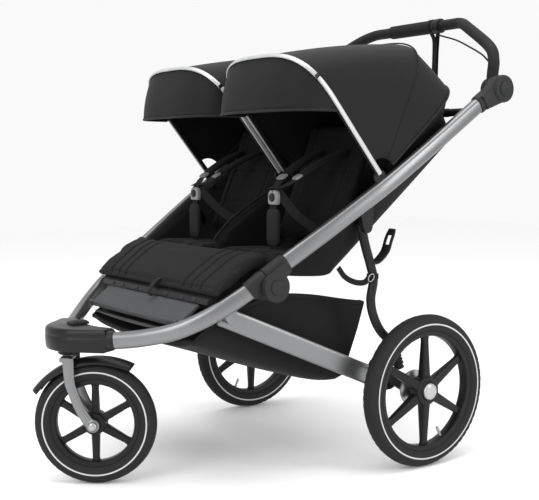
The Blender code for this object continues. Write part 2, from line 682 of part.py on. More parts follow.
def strut_point(side, distance):
    """A point on the strut's centre line, measured back from its pivot."""
    t = distance / STRUT_LONG
    return ((STRUT_X_FRONT + (STRUT_X_REAR - STRUT_X_FRONT) * t) * side,
            STRUT_Y + (STRUT_END_Y - STRUT_Y) * t, STRUT_Z + (STRUT_END_Z - STRUT_Z) * t)


for side_name, side in SIDES.items():
    strut = tube("strut_" + side_name,
                 [strut_point(side, -0.013), strut_point(side, STRUT_LONG)], section=strut_section)
    finish_piece(strut, ALUMINIUM, None)
    boolean(strut, rod("strut_bore_" + side_name, (0.2 * side, STRUT_Y, STRUT_Z),
                       (0.3 * side, STRUT_Y, STRUT_Z), PIN_R + GAP, 16), "DIFFERENCE")
    finish_piece(strut, ALUMINIUM, REAR, 40)

beam = rod("rear_axle_beam", (-BRACKET_OUT, BEAM_Y, BEAM_Z), (BRACKET_OUT, BEAM_Y, BEAM_Z), 0.012, 20)
finish_piece(beam, BLACK_TUBE, None)
bracket_outline = [(-0.130, 0.206), (-0.100, 0.194), (-0.060, 0.190), (-0.044, 0.200), (-0.048, 0.221),
                   (-0.068, 0.228), (-0.080, 0.262), (-0.110, 0.268)]
for side_name, side in SIDES.items():
    low_x, high_x = span(side, BRACKET_IN, BRACKET_OUT)
    boolean(beam, plate("bracket_" + side_name, bracket_outline, low_x, high_x), "UNION")
    pocket = tube("strut_pocket_" + side_name,
                  [strut_point(side, -0.013), strut_point(side, STRUT_LONG + GAP)],
                  section=oval_section("strut_pocket_section_" + side_name, STRUT_W + 2 * GAP,
                                       STRUT_H + 2 * GAP, 12, 5.0))
    boolean(beam, pocket, "DIFFERENCE")
    boolean(beam, rod("arm_pin_" + side_name, ((BRACKET_IN + 0.004) * side, ARM_Y, ARM_Z),
                      ((AXLE_X + ARM_T / 2 + 0.002) * side, ARM_Y, ARM_Z), 0.0055, 16), "UNION")
finish_piece(beam, BLACK_TUBE, REAR)

for side_name, side in SIDES.items():
    low_x, high_x = span(side, AXLE_X - ARM_T / 2, AXLE_X + ARM_T / 2)
    arm_outline = [(ARM_Y - 0.012, ARM_Z + 0.004), (ARM_Y + 0.002, ARM_Z + 0.015),
                   (-0.012, REAR_WHEEL_R + 0.022), (0.012, REAR_WHEEL_R + 0.014),
                   (0.018, REAR_WHEEL_R), (0.010, REAR_WHEEL_R - 0.016), (-0.012, REAR_WHEEL_R - 0.018),
                   (ARM_Y - 0.006, ARM_Z - 0.012)]
    arm = plate("swing_arm_" + side_name, arm_outline, low_x, high_x)
    finish_piece(arm, PLASTIC, None)
    stub = rod("wheel_stub_" + side_name, ((AXLE_X - ARM_T / 2 + 0.001) * side, 0, REAR_WHEEL_R),
               ((WHEEL_OUT - BUTTON_POCKET - 0.001) * side, 0, REAR_WHEEL_R), STUB_R, 20)
    boolean(arm, stub, "UNION")
    boolean(arm, rod("arm_bore_" + side_name, (0.31 * side, ARM_Y, ARM_Z), (0.36 * side, ARM_Y, ARM_Z),
                     0.0055 + GAP, 16), "DIFFERENCE")
    finish_piece(arm, PLASTIC, MAIN)
    drum = rod("brake_drum_" + side_name, ((AXLE_X + ARM_T / 2 + GAP) * side, 0, REAR_WHEEL_R),
               ((AXLE_X + ARM_T / 2 + GAP + DRUM_T) * side, 0, REAR_WHEEL_R), DRUM_R, 32)
    finish_piece(drum, STEEL, None)
    boolean(drum, rod("drum_bore_" + side_name, (0.30 * side, 0, REAR_WHEEL_R),
                      (0.40 * side, 0, REAR_WHEEL_R), STUB_R + GAP, 20), "DIFFERENCE")
    finish_piece(drum, STEEL, MAIN)
    boot_top, boot_foot = Vector((AXLE_X * side, -0.062, 0.300)), Vector((AXLE_X * side, -0.040, 0.243))
    boot = rod("spring_boot_" + side_name, boot_top, boot_foot, 0.0155, 20)
    finish_piece(boot, RUBBER, MAIN)

LINK_RUN = [(LINK_Y, LINK_Z), (-0.158, 0.556), (-0.140, 0.505), (-0.131, 0.470), (-0.139, 0.425),
            (-0.131, 0.385), (-0.108, 0.345), (-0.072, 0.312)]
for side_name, side in SIDES.items():
    run = [(LINK_X * side, y, z) for y, z in LINK_RUN]
    link = tube("link_" + side_name, smooth_path(run, 1), radius=LINK_R, resolution=1)
    finish_piece(link, BLACK_TUBE, None)
    eye = rod("link_eye_" + side_name, ((LINK_X - LINK_R) * side, LINK_Y, LINK_Z),
              ((LINK_X + LINK_R) * side, LINK_Y, LINK_Z), 0.017, 24)
    boolean(link, eye, "UNION")
    boolean(link, rod("link_bore_" + side_name, ((LINK_X - 0.03) * side, LINK_Y, LINK_Z),
                      ((LINK_X + 0.03) * side, LINK_Y, LINK_Z), PIN_R + GAP, 16), "DIFFERENCE")
    finish_piece(link, BLACK_TUBE, LINKS)

pedal = box("brake_pedal", (-0.085, BEAM_Y + 0.0145, BEAM_Z - 0.030), (0.085, BEAM_Y + 0.062, BEAM_Z - 0.018))
finish_piece(pedal, PLASTIC, None)
bevel(pedal, 0.004)
hook_low = box("pedal_root", (-0.030, BEAM_Y - 0.016, BEAM_Z - 0.026),
               (0.030, BEAM_Y + 0.022, BEAM_Z - 0.0135))
boolean(pedal, hook_low, "UNION")
finish_piece(pedal, PLASTIC, REAR)

CATCH_W, CATCH_T = 0.028, 0.004
CATCH_RUN = [(-0.117, 0.520), (-0.095, 0.538), (-0.083, 0.566), (-0.071, 0.592)]
catch_rows = []
for point in smooth_path([(LINK_X, y, z) for y, z in CATCH_RUN], 3):
    catch_rows.append([point - Vector((CATCH_W / 2, 0, 0)), point + Vector((CATCH_W / 2, 0, 0))])
catch = sheet("fold_catch", catch_rows, CATCH_T)
finish_piece(catch, PLASTIC, LINKS, 60)

# ---------------------------------------------------------------- handlebar
bar = [(HANDLE_X - 0.020, HANDLE_Y, HANDLE_Z), (HANDLE_X - 0.020, HANDLE_Y + 0.003, HANDLE_Z + 0.040),
       (HANDLE_X - 0.019, HANDLE_Y + 0.005, HANDLE_Z + 0.075), (HANDLE_X - 0.045, HANDLE_Y + 0.017, 1.052),
       (0.235, 0.292, 1.112), (0.180, 0.317, 1.134), (BAR_HALF - 0.020, BAR_Y, BAR_Z)]
half = smooth_path(bar, 2)
full = half + [Vector((-p.x, p.y, p.z)) for p in reversed(half)]
handlebar = tube("handlebar", full, radius=HANDLE_R, resolution=1)
finish_piece(handlebar, FOAM, None)
for side in SIDES.values():
    knuckle = rod("knuckle", ((HANDLE_X - 0.034) * side, HANDLE_Y, HANDLE_Z),
                  ((HANDLE_X - 0.0035) * side, HANDLE_Y, HANDLE_Z), 0.029, 28)
    boolean(handlebar, knuckle, "UNION")
finish_piece(handlebar, FOAM, HANDLE, 50)

ring = [(GRIP_R, GRIP_TO - GRIP_FROM), (GRIP_R, 0.0), (HANDLE_R + 0.0006, 0.0),
        (HANDLE_R + 0.0006, GRIP_TO - GRIP_FROM)]
grip = turned("twist_grip", ring, 24)
grip.data.transform(Matrix.Translation((GRIP_FROM, BAR_Y, BAR_Z)))
finish_piece(grip, PLASTIC, GRIP)
COLLAR_R = HANDLE_R + 0.0055
collar_ring = [(COLLAR_R, 0.022), (COLLAR_R, 0.0), (HANDLE_R + GAP, 0.0), (HANDLE_R + GAP, 0.022)]
collar = turned("grip_collar", collar_ring, 24)
collar.data.transform(Matrix.Translation((GRIP_TO + 0.001, BAR_Y, BAR_Z)))
finish_piece(collar, PLASTIC, HANDLE)

CABLE_R = 0.0025
CABLE_TOP = BAR_Z - HANDLE_R
cable_points = [(0.086, 0.322, CABLE_TOP - 0.0095), (0.120, 0.318, CABLE_TOP - 0.019),
                (0.180, 0.302, CABLE_TOP - 0.035), (0.250, 0.277, CABLE_TOP - 0.060),
                (0.320, 0.250, CABLE_TOP - 0.087), (HANDLE_X - 0.0245 - HANDLE_R, 0.2425, CABLE_TOP - 0.107)]
cable = tube("brake_cable", smooth_path(cable_points, 3), radius=CABLE_R, resolution=2)
finish_piece(cable, RUBBER, HANDLE)

for side_name, side in SIDES.items():
    end = TUBE_RUN - 0.052
    start_point = along_tube(end, HANDLE_X)
    end_point = along_tube(TUBE_RUN + 0.0012, HANDLE_X)
    sleeve = tube("handle_hinge_" + side_name, mirrored_points([start_point, end_point], side),
                  section=sleeve_section)
    finish_piece(sleeve, PLASTIC, None)
    disc = rod("hinge_disc_" + side_name, ((HANDLE_X - 0.0015) * side, HANDLE_Y, HANDLE_Z),
               ((HANDLE_X + 0.030) * side, HANDLE_Y, HANDLE_Z), 0.035, 32)
    boolean(sleeve, disc, "UNION")
    web = [along_tube(end + 0.010, 0, TUBE_RISE + 0.018), along_tube(TUBE_RUN + 0.036, 0, TUBE_RISE + 0.033),
           along_tube(TUBE_RUN + 0.036, 0, TUBE_RISE - 0.033), along_tube(end + 0.010, 0, TUBE_RISE - 0.018)]
    low_x, high_x = span(side, HANDLE_X - 0.0015, HANDLE_X + 0.022)
    boolean(sleeve, plate("hinge_web_" + side_name, [(p.y, p.z) for p in web], low_x, high_x), "UNION")
    socket = tube("handle_socket_" + side_name, mirrored_points(UPPER_RUN, side),
                  section=socket_section)
    boolean(sleeve, socket, "DIFFERENCE")
    finish_piece(sleeve, PLASTIC, MAIN)

CROSS_RUN = 0.700
cross_x = HANDLE_X - TUBE_W / 2 - 0.0006
cross_at = along_tube(CROSS_RUN, 0)
crossbar = rod("seat_crossbar", (-cross_x, cross_at.y, cross_at.z), (cross_x, cross_at.y, cross_at.z),
               0.010, 16)
finish_piece(crossbar, BLACK_TUBE, MAIN)

# ---------------------------------------------------------------- seats
POD_T = 0.006
POD_FRONT = 0.068            # along the tube from the fold to the sling's front edge
POD_REAR = 0.672
FLOOR = [(-0.378, 0.497), (-0.235, 0.487), (0.205, 0.846)]
sling_floor = [(y, z) for y, z in FLOOR] + [(y + 0.003, z - POD_T) for y, z in reversed(FLOOR)]
pod = plate("seat_pod", sling_floor, -POD_HALF, POD_HALF)
finish_piece(pod, FABRIC, None)
front_top, rear_top = along_tube(POD_FRONT, 0, TUBE_RISE), along_tube(POD_REAR, 0, TUBE_RISE)
side_outline = [(y, z - POD_T / 2) for y, z in FLOOR] + [(rear_top.y, rear_top.z), (front_top.y, front_top.z)]
for side_name, side in SIDES.items():
    low_x, high_x = span(side, POD_HALF - POD_T, POD_HALF)
    boolean(pod, plate("sling_side_" + side_name, side_outline, low_x, high_x), "UNION")
DIVIDER_T = 0.022
divider_outline = [(-0.372, 0.494), (-0.235, 0.484), (0.000, 0.675), (-0.040, 0.745), (-0.136, 0.712),
                   (-0.220, 0.668), (-0.309, 0.619), (-0.374, 0.560)]
boolean(pod, plate("sling_divider", divider_outline, -DIVIDER_T / 2, DIVIDER_T / 2), "UNION")
finish_piece(pod, FABRIC, MAIN)

PAD_FRONT, PAD_TOP = -0.397, 0.540
BACK_ANGLE = math.radians(67)
BACK_LONG, BACK_T = 0.330, 0.027
back_dir = (math.cos(BACK_ANGLE), math.sin(BACK_ANGLE))
back_foot = (RECLINE_Y + 0.016, RECLINE_Z + 0.012)
back_out = (-math.sin(BACK_ANGLE) * BACK_T, math.cos(BACK_ANGLE) * BACK_T)
back_head = (back_foot[0] + back_dir[0] * BACK_LONG, back_foot[1] + back_dir[1] * BACK_LONG)
BUCKLE_X = 0.183
CROTCH_Y = -0.318
BUCKLE_Z = 0.652
harness_section = oval_section("harness_section", 0.036, 0.011, 10)
for side_name, side in SIDES.items():
    low_x, high_x = span(side, SEAT_X - SEAT_W / 2, SEAT_X + SEAT_W / 2)
    pad = plate("seat_pad_" + side_name, [(PAD_FRONT, 0.503), (-0.236, 0.4925), (-0.214, 0.510),
                                          (-0.236, PAD_TOP - 0.004), (PAD_FRONT, PAD_TOP)], low_x, high_x)
    finish_piece(pad, FABRIC, None)
    bevel(pad, 0.006, 2)
    strap = box("crotch_strap_" + side_name, (BUCKLE_X * side - 0.023, CROTCH_Y - 0.008, PAD_TOP - 0.012),
                (BUCKLE_X * side + 0.023, CROTCH_Y + 0.008, BUCKLE_Z - GAP))
    boolean(pad, strap, "UNION")
    finish_piece(pad, FABRIC, MAIN)
    back = plate("backrest_" + side_name,
                 [back_foot, back_head, (back_head[0] + back_out[0], back_head[1] + back_out[1]),
                  (back_foot[0] + back_out[0], back_foot[1] + back_out[1])], low_x, high_x)
    finish_piece(back, FABRIC, MAIN)
    bevel(back, 0.006, 2)
    low_x, high_x = span(side, BUCKLE_X - 0.019, BUCKLE_X + 0.019)
    buckle = box("buckle_" + side_name, (low_x, CROTCH_Y - 0.007, BUCKLE_Z),
                 (high_x, CROTCH_Y + 0.009, BUCKLE_Z + 0.036))
    finish_piece(buckle, PLASTIC, None)
    well = box("button_well_" + side_name, (BUCKLE_X * side - 0.0105, CROTCH_Y - 0.010, BUCKLE_Z + 0.0075),
               (BUCKLE_X * side + 0.0105, CROTCH_Y - 0.001, BUCKLE_Z + 0.0285))
    boolean(buckle, well, "DIFFERENCE")
    finish_piece(buckle, PLASTIC, MAIN)
    button = box("buckle_button_" + side_name, (BUCKLE_X * side - 0.010, CROTCH_Y - 0.009, BUCKLE_Z + 0.008),
                 (BUCKLE_X * side + 0.010, CROTCH_Y - 0.0042, BUCKLE_Z + 0.028))
    finish_piece(button, HUB_SILVER, MAIN)
    yoke = (BUCKLE_X * side, CROTCH_Y + 0.001, BUCKLE_Z + 0.036 + 0.006)
    straps = []
    for lean in (-1, 1):
        top = (BUCKLE_X * side + 0.050 * lean, back_foot[0] + back_out[0] + back_dir[0] * 0.245 - 0.012,
               back_foot[1] + back_out[1] + back_dir[1] * 0.245)
        foot = (BUCKLE_X * side + 0.030 * lean, -0.275, 0.712)
        straps.append(tube("harness_strap", [top, foot, yoke], section=harness_section))
    harness = straps[0]
    harness.name = "harness_" + side_name
    finish_piece(harness, FABRIC, None)
    boolean(harness, straps[1], "UNION")
    finish_piece(harness, FABRIC, MAIN)

# ---------------------------------------------------------------- leg rest and foot tray
calf_outline = [(-0.556, 0.4475), (-0.483, 0.4915), (-0.447, 0.5145), (-0.412, 0.5165), (-0.403, 0.530),
                (-0.416, 0.549), (-0.470, 0.531), (-0.530, 0.488), (-0.566, 0.456)]
calf = plate("calf_pad", calf_outline, -PAD_HALF, PAD_HALF)
finish_piece(calf, FABRIC, LOWER)
TRAY_HALF = 0.224
SHELL_HALF = 0.198
tray = plate("footrest_panel", [(-0.616, 0.391), (-0.556, 0.434), (-0.550, 0.428), (-0.609, 0.382)],
             -TRAY_HALF, TRAY_HALF)
finish_piece(tray, MAT_GREY, LOWER)
SHELL_RUN = [(-0.6125, 0.3745), (-0.604, 0.364), (-0.575, 0.366), (-0.540, 0.386), (-0.520, 0.412)]
shell_rows = []
for i, (y, z) in enumerate(SHELL_RUN):
    lift = 0.010 * math.sin(math.pi * i / (len(SHELL_RUN) - 1))
    shell_rows.append([(x * SHELL_HALF, y, z + lift * x * x) for x in (-1, -0.5, 0, 0.5, 1)])
tray_shell = sheet("footrest_shell", shell_rows, 0.004)
finish_piece(tray_shell, PLASTIC, LOWER, 60)

# ---------------------------------------------------------------- basket
BASKET_HALF = 0.256
BASKET_ACROSS = (-BASKET_HALF, -0.24, -0.12, 0, 0.12, 0.24, BASKET_HALF)
BASKET_STATIONS = [(-0.590, 0.334, 0.350), (-0.560, 0.324, 0.372), (-0.488, 0.300, 0.408),
                   (-0.378, 0.263, 0.438), (-0.279, 0.230, 0.434), (-0.190, 0.206, 0.412),
                   (-0.158, 0.203, 0.402)]
basket_rows = []
ends = (0, len(BASKET_STATIONS) - 1)
for i, (y, floor_z, rim_z) in enumerate(BASKET_STATIONS):
    if i == ends[0]:
        basket_rows.append([(x, y - 0.003, rim_z) for x in BASKET_ACROSS])
    row = [(-BASKET_HALF, y, rim_z), (-0.245, y, floor_z + 0.012), (-0.12, y, floor_z - 0.003),
           (0, y, floor_z - 0.006), (0.12, y, floor_z - 0.003), (0.245, y, floor_z + 0.012),
           (BASKET_HALF, y, rim_z)]
    basket_rows.append(row)
    if i == ends[1]:
        basket_rows.append([(x, y + 0.006, rim_z) for x in BASKET_ACROSS])
basket = sheet("basket", basket_rows, 0.003)
finish_piece(basket, FABRIC, REAR, 60)

# ---------------------------------------------------------------- canopies
BOW_ANGLE, REAR_BOW_ANGLE, HEM_ANGLE = 129.5, 65.6, 41.0
SHADE_T = 0.004
BRIM_Z = 0.872
ARCH_POINTS = 13


BOW_BRIM = (BRIM_Z - CANOPY_Z) / math.sin(math.radians(BOW_ANGLE))   # along the bow's leg to the brim
LEG_BASE = 0.045


def arch(angle_deg, legs, reach, side):
    """One arch of the canopy in a plane through its pivot line, from inner leg to outer leg.

    legs are the distances from the pivot line of each leg's lower points; None leaves one out.
    """
    a = math.radians(angle_deg)
    mid = (CANOPY_INNER + CANOPY_OUTER) / 2
    half = (CANOPY_OUTER - CANOPY_INNER) / 2
    place = []
    for s in legs:
        place.append(None if s is None else (-half, s))
    for i in range(1, ARCH_POINTS - 1):
        t = math.pi * (1 - i / (ARCH_POINTS - 1))
        rise = abs(math.sin(t)) ** 0.62
        place.append((half * math.copysign(abs(math.cos(t)) ** 0.62, math.cos(t)),
                      legs[-1] + (reach - legs[-1]) * rise))
    for s in reversed(legs):
        place.append(None if s is None else (half, s))
    row = []
    for spot in place:
        if spot is None:
            row.append(None)
        else:
            row.append(((mid + spot[0]) * side, CANOPY_Y + spot[1] * math.cos(a),
                        CANOPY_Z + spot[1] * math.sin(a)))
    return row


SPAN_FULLNESS = 0.15         # how much of the arc's rise the cloth keeps between two bows
BRIM_OUT = 0.130             # brim's middle ahead of the bow's legs


def cloth_reach(angle):
    """Distance from the pivot line of cloth stretched between the two bows, or the rear bow and hem."""
    low, high = (REAR_BOW_ANGLE, BOW_ANGLE) if angle > REAR_BOW_ANGLE else (HEM_ANGLE, REAR_BOW_ANGLE)
    half_span = math.radians((high - low) / 2)
    chord = CANOPY_R * math.cos(half_span) / math.cos(math.radians(angle) - math.radians((low + high) / 2))
    return chord + (CANOPY_R - chord) * SPAN_FULLNESS


def visor_row(bow, k, side):
    """One row of the visor, k of the way from the front bow down to its level brim."""
    leg_y, bow_top = bow[1][1], max(p[2] for p in bow)
    row = [None]
    for x, y, z in bow[1:-1]:
        rise = (z - BRIM_Z) / (bow_top - BRIM_Z)
        brim_y = leg_y - BRIM_OUT * rise - 0.012 * (1 - rise)
        row.append((x, y + (brim_y - y) * k - 0.006 * math.sin(math.pi * k) * rise, z + (BRIM_Z - z) * k))
    return row + [None]


for side_name, side in SIDES.items():
    canopy_rows = []
    for i in range(7):
        angle = HEM_ANGLE + (BOW_ANGLE - HEM_ANGLE) * i / 6
        canopy_rows.append(arch(angle, (LEG_BASE, BOW_BRIM), cloth_reach(angle), side))
    bow_row = canopy_rows[-1]
    for k in (1 / 3, 2 / 3, 1.0):
        canopy_rows.append(visor_row(bow_row, k, side))
    canopy = sheet("canopy_" + side_name, canopy_rows, SHADE_T)
    finish_piece(canopy, FABRIC, MAIN, 60)
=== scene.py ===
"""Side-by-side jogging stroller: the visible pieces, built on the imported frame.

Metres, +Z up, front towards -Y. Places are laid out from the rear axle line and the floor.
"""
import json
import math

import bmesh
import bpy
import numpy as np
from mathutils import Matrix, Vector


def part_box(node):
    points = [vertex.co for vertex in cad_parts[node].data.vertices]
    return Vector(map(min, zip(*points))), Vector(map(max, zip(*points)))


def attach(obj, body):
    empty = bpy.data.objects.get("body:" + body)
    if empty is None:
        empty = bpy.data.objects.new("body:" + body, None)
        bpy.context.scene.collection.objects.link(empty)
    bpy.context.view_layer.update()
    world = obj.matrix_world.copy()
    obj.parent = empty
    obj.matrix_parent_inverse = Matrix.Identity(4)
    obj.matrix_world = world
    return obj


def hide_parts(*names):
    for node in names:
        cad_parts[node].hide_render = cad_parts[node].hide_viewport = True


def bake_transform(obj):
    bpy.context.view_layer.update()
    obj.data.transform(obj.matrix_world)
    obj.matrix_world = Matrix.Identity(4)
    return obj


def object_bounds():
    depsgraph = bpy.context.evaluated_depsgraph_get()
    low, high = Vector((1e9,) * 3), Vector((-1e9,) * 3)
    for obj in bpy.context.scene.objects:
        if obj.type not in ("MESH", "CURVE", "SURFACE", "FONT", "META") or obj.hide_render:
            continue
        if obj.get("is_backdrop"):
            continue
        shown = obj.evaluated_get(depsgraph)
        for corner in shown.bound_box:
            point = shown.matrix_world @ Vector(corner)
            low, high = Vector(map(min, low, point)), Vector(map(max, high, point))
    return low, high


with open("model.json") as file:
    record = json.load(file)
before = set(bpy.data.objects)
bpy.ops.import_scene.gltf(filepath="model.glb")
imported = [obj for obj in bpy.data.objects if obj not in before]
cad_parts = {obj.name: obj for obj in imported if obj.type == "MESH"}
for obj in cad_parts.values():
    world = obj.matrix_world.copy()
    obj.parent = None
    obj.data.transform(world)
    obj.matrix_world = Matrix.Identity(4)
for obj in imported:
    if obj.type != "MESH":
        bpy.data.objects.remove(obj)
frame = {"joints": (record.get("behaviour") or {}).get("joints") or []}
cad_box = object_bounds()
joint = {j["name"]: j for j in frame["joints"]}

# ---- Studio: a pale seamless floor, one large soft light overhead and two at the sides,
# and the camera low at the front left corner.
AXLE_Y = joint["rear_wheel_spin_left"]["pos_m"][1]


def at(x, y, z):
    """A point laid out from the rear axle line, in the frame."""
    return Vector((x, AXLE_Y + y, z))


scene = bpy.context.scene
scene.view_settings.view_transform = "Standard"
world = bpy.data.worlds.new("studio")
scene.world = world
world.use_nodes = True
world.node_tree.nodes["Background"].inputs["Color"].default_value = (1.0, 1.0, 1.0, 1.0)
world.node_tree.nodes["Background"].inputs["Strength"].default_value = 0.95

LENS_MM = 68.07
camera_data = bpy.data.cameras.new("camera")
camera_data.sensor_width = 36.0
camera_data.lens = LENS_MM
camera = bpy.data.objects.new("camera", camera_data)
scene.collection.objects.link(camera)
camera.location = at(2.19494, -1.75676, 0.75954)
VIEW_AZIMUTH, VIEW_ELEVATION = math.radians(54.6548), math.radians(5.0342)
camera.rotation_euler = (math.pi / 2 - VIEW_ELEVATION, 0.0, VIEW_AZIMUTH)
scene.camera = camera


def area_light(name, place, aim, size, power):
    data = bpy.data.lights.new(name, "AREA")
    data.shape = "RECTANGLE"
    data.size, data.size_y = size
    data.energy = power
    lamp = bpy.data.objects.new(name, data)
    scene.collection.objects.link(lamp)
    lamp.location = place
    lamp.rotation_euler = (Vector(aim) - Vector(place)).to_track_quat("-Z", "Y").to_euler()
    return lamp


area_light("overhead", (0.3, -0.2, 3.4), (0.0, 0.0, 0.4), (3.2, 2.6), 75)
area_light("front_left", (1.2, -3.2, 1.9), (0.0, 0.0, 0.5), (1.6, 2.2), 55)
area_light("rear_left", (3.2, 1.6, 1.7), (0.0, 0.1, 0.6), (1.2, 2.2), 45)

floor_mesh = bpy.data.meshes.new("floor")
floor_mesh.from_pydata([(-8, -8, 0), (8, -8, 0), (8, 8, 0), (-8, 8, 0)], [], [(0, 1, 2, 3)])
floor = bpy.data.objects.new("floor", floor_mesh)
scene.collection.objects.link(floor)
floor_mat = bpy.data.materials.new("pale_floor")
floor_mat.use_nodes = True
floor_mat.node_tree.nodes["Principled BSDF"].inputs["Base Color"].default_value = (0.97, 0.97, 0.97, 1.0)
floor_mat.node_tree.nodes["Principled BSDF"].inputs["Roughness"].default_value = 0.6
floor_mesh.materials.append(floor_mat)
floor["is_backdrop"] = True

# ---- Frame rails: two bent aluminium tubes a side, oval in section, satin with a fine
# grain. Each carries a welded bracket and pin for the folding linkage.


def node_of(tree, kind, **values):
    node = tree.nodes.new(kind)
    for name, value in values.items():
        setattr(node, name, value)
    return node


def wire(tree, a, output, b, socket):
    tree.links.new(a.outputs[output], b.inputs[socket])


def effect_group(name, inputs, outputs):
    """An empty shader group with named float or colour sockets."""
    group = bpy.data.node_groups.new(name, "ShaderNodeTree")
    for label, kind, value in inputs:
        socket = group.interface.new_socket(label, in_out="INPUT", socket_type=kind)
        socket.default_value = value
    for label, kind in outputs:
        group.interface.new_socket(label, in_out="OUTPUT", socket_type=kind)
    return group


# Fine grain of a finish: one noise for the bump, a broad one for slow changes of tone.
grain = effect_group("surface_grain",
                     [("Grain scale", "NodeSocketFloat", 900.0), ("Blotch scale", "NodeSocketFloat", 12.0),
                      ("Dark", "NodeSocketColor", (0.1, 0.1, 0.1, 1)),
                      ("Light", "NodeSocketColor", (0.2, 0.2, 0.2, 1)),
                      ("Rough low", "NodeSocketFloat", 0.3), ("Rough high", "NodeSocketFloat", 0.5)],
                     [("Color", "NodeSocketColor"), ("Roughness", "NodeSocketFloat"),
                      ("Height", "NodeSocketFloat")])
g_in, g_out = node_of(grain, "NodeGroupInput"), node_of(grain, "NodeGroupOutput")
coords = node_of(grain, "ShaderNodeTexCoord")
fine = node_of(grain, "ShaderNodeTexNoise")
fine.inputs["Detail"].default_value = 2.0
broad = node_of(grain, "ShaderNodeTexNoise")
broad.inputs["Detail"].default_value = 4.0
tone = node_of(grain, "ShaderNodeMix", data_type="RGBA")
rough = node_of(grain, "ShaderNodeMapRange")
rough.inputs["From Min"].default_value = 0.3
rough.inputs["From Max"].default_value = 0.7
wire(grain, coords, "Object", fine, "Vector")
wire(grain, coords, "Object", broad, "Vector")
wire(grain, g_in, "Grain scale", fine, "Scale")
wire(grain, g_in, "Blotch scale", broad, "Scale")
wire(grain, broad, "Fac", tone, "Factor")
wire(grain, g_in, "Dark", tone, "A")
wire(grain, g_in, "Light", tone, "B")
wire(grain, broad, "Fac", rough, "Value")
wire(grain, g_in, "Rough low", rough, "To Min")
wire(grain, g_in, "Rough high", rough, "To Max")
wire(grain, tone, "Result", g_out, "Color")
wire(grain, rough, "Result", g_out, "Roughness")
wire(grain, fine, "Fac", g_out, "Height")


def relief_material(name, effect_tree, values, depth):
    """A material coloured by an effect group, with the group's height as a fine relief."""
    mat = bpy.data.materials.new(name)
    mat.use_nodes = True
    tree = mat.node_tree
    shader = tree.nodes["Principled BSDF"]
    effect = node_of(tree, "ShaderNodeGroup")
    effect.node_tree = effect_tree
    for socket, value in values.items():
        effect.inputs[socket].default_value = value
    bump = node_of(tree, "ShaderNodeBump")
    bump.inputs["Distance"].default_value = depth
    wire(tree, effect, "Color", shader, "Base Color")
    wire(tree, effect, "Height", bump, "Height")
    wire(tree, bump, "Normal", shader, "Normal")
    return mat, shader, effect


def surface(name, dark, light, rough_range, grain_scale, blotch, depth, metallic=0.0):
    """A material whose tone and roughness drift slowly and whose surface has a fine grain."""
    mat, shader, effect = relief_material(name, grain, {
        "Dark": (*dark, 1.0), "Light": (*light, 1.0), "Rough low": rough_range[0],
        "Rough high": rough_range[1], "Grain scale": grain_scale, "Blotch scale": blotch}, depth)
    wire(mat.node_tree, effect, "Roughness", shader, "Roughness")
    shader.inputs["Metallic"].default_value = metallic
    shader.inputs["Specular IOR Level"].default_value = 0.5 if metallic else 0.16
    return mat


satin_aluminium = surface("satin_aluminium", (0.165, 0.167, 0.170), (0.205, 0.207, 0.210), (0.28, 0.38), 700,
                          6, 0.00002, 0.85)


def new_piece(name, form, body, materials, replaces=(), smooth=40):
    """A finished piece: its materials and shading, its body, and the solids it stands for."""
    mesh = form if isinstance(form, bpy.types.Mesh) else bm_mesh(form, name)
    obj = bpy.data.objects.new(name, mesh)
    scene.collection.objects.link(obj)
    for mat in materials if isinstance(materials, list) else [materials]:
        mesh.materials.append(mat)
    mesh.shade_smooth()
    if smooth:
        mesh.set_sharp_from_angle(angle=math.radians(smooth))
    if replaces:
        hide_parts(*replaces)
    if body:
        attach(obj, body)
    return obj


def bm_mesh(bm, name):
    bmesh.ops.recalc_face_normals(bm, faces=bm.faces)
    mesh = bpy.data.meshes.new(name)
    bm.to_mesh(mesh)
    bm.free()
    return mesh


def smooth_run(points, per_span=8):
    """A smooth run through given points (Catmull-Rom)."""
    pts = [Vector(p) for p in points]
    padded = [2 * pts[0] - pts[1]] + pts + [2 * pts[-1] - pts[-2]]
    run = []
    for i in range(1, len(padded) - 2):
        p0, p1, p2, p3 = padded[i - 1:i + 3]
        for k in range(per_span):
            t = k / per_span
            run.append(0.5 * ((2 * p1) + (p2 - p0) * t + (2 * p0 - 5 * p1 + 4 * p2 - p3) * t ** 2
                              + (3 * p1 - p0 - 3 * p2 + p3) * t ** 3))
    run.append(pts[-1])
    return run


def rounded(width, height, power=2.6, sides=32):
    """A closed section outline between an ellipse and a rectangle."""
    ring = []
    for i in range(sides):
        a = 2 * math.pi * i / sides
        c, s = math.cos(a), math.sin(a)
        ring.append((math.copysign(abs(c) ** (2 / power), c) * width / 2,
                     math.copysign(abs(s) ** (2 / power), s) * height / 2))
    return ring


def bridge(bm, rows, closed=False):
    """Faces between each row of points and the next; a closed row runs all the way round."""
    n = len(rows[0])
    for a, b in zip(rows, rows[1:]):
        for j in range(n if closed else n - 1):
            bm.faces.new((a[j], a[(j + 1) % n], b[(j + 1) % n], b[j]))


def sweep(bm, points, section, up=Vector((0, 0, 1)), widths=None):
    """A bar with a closed section swept along points; widths scales the section point by point."""
    rings = []
    side = None
    for i, p in enumerate(points):
        ahead, behind = points[min(i + 1, len(points) - 1)], points[max(i - 1, 0)]
        tangent = (ahead - behind).normalized()
        if up is not None:
            side = tangent.cross(up).normalized()
        elif side is None:
            side = tangent.orthogonal().normalized()
        else:
            side = (side - tangent * side.dot(tangent)).normalized()
        over = side.cross(tangent)
        k = 1.0 if widths is None else widths[i]
        kx, ky = k if isinstance(k, tuple) else (k, k)
        rings.append([bm.verts.new(p + side * (u * kx) + over * (v * ky)) for u, v in section])
    bridge(bm, rings, closed=True)
    bm.faces.new(list(reversed(rings[0])))
    bm.faces.new(rings[-1])


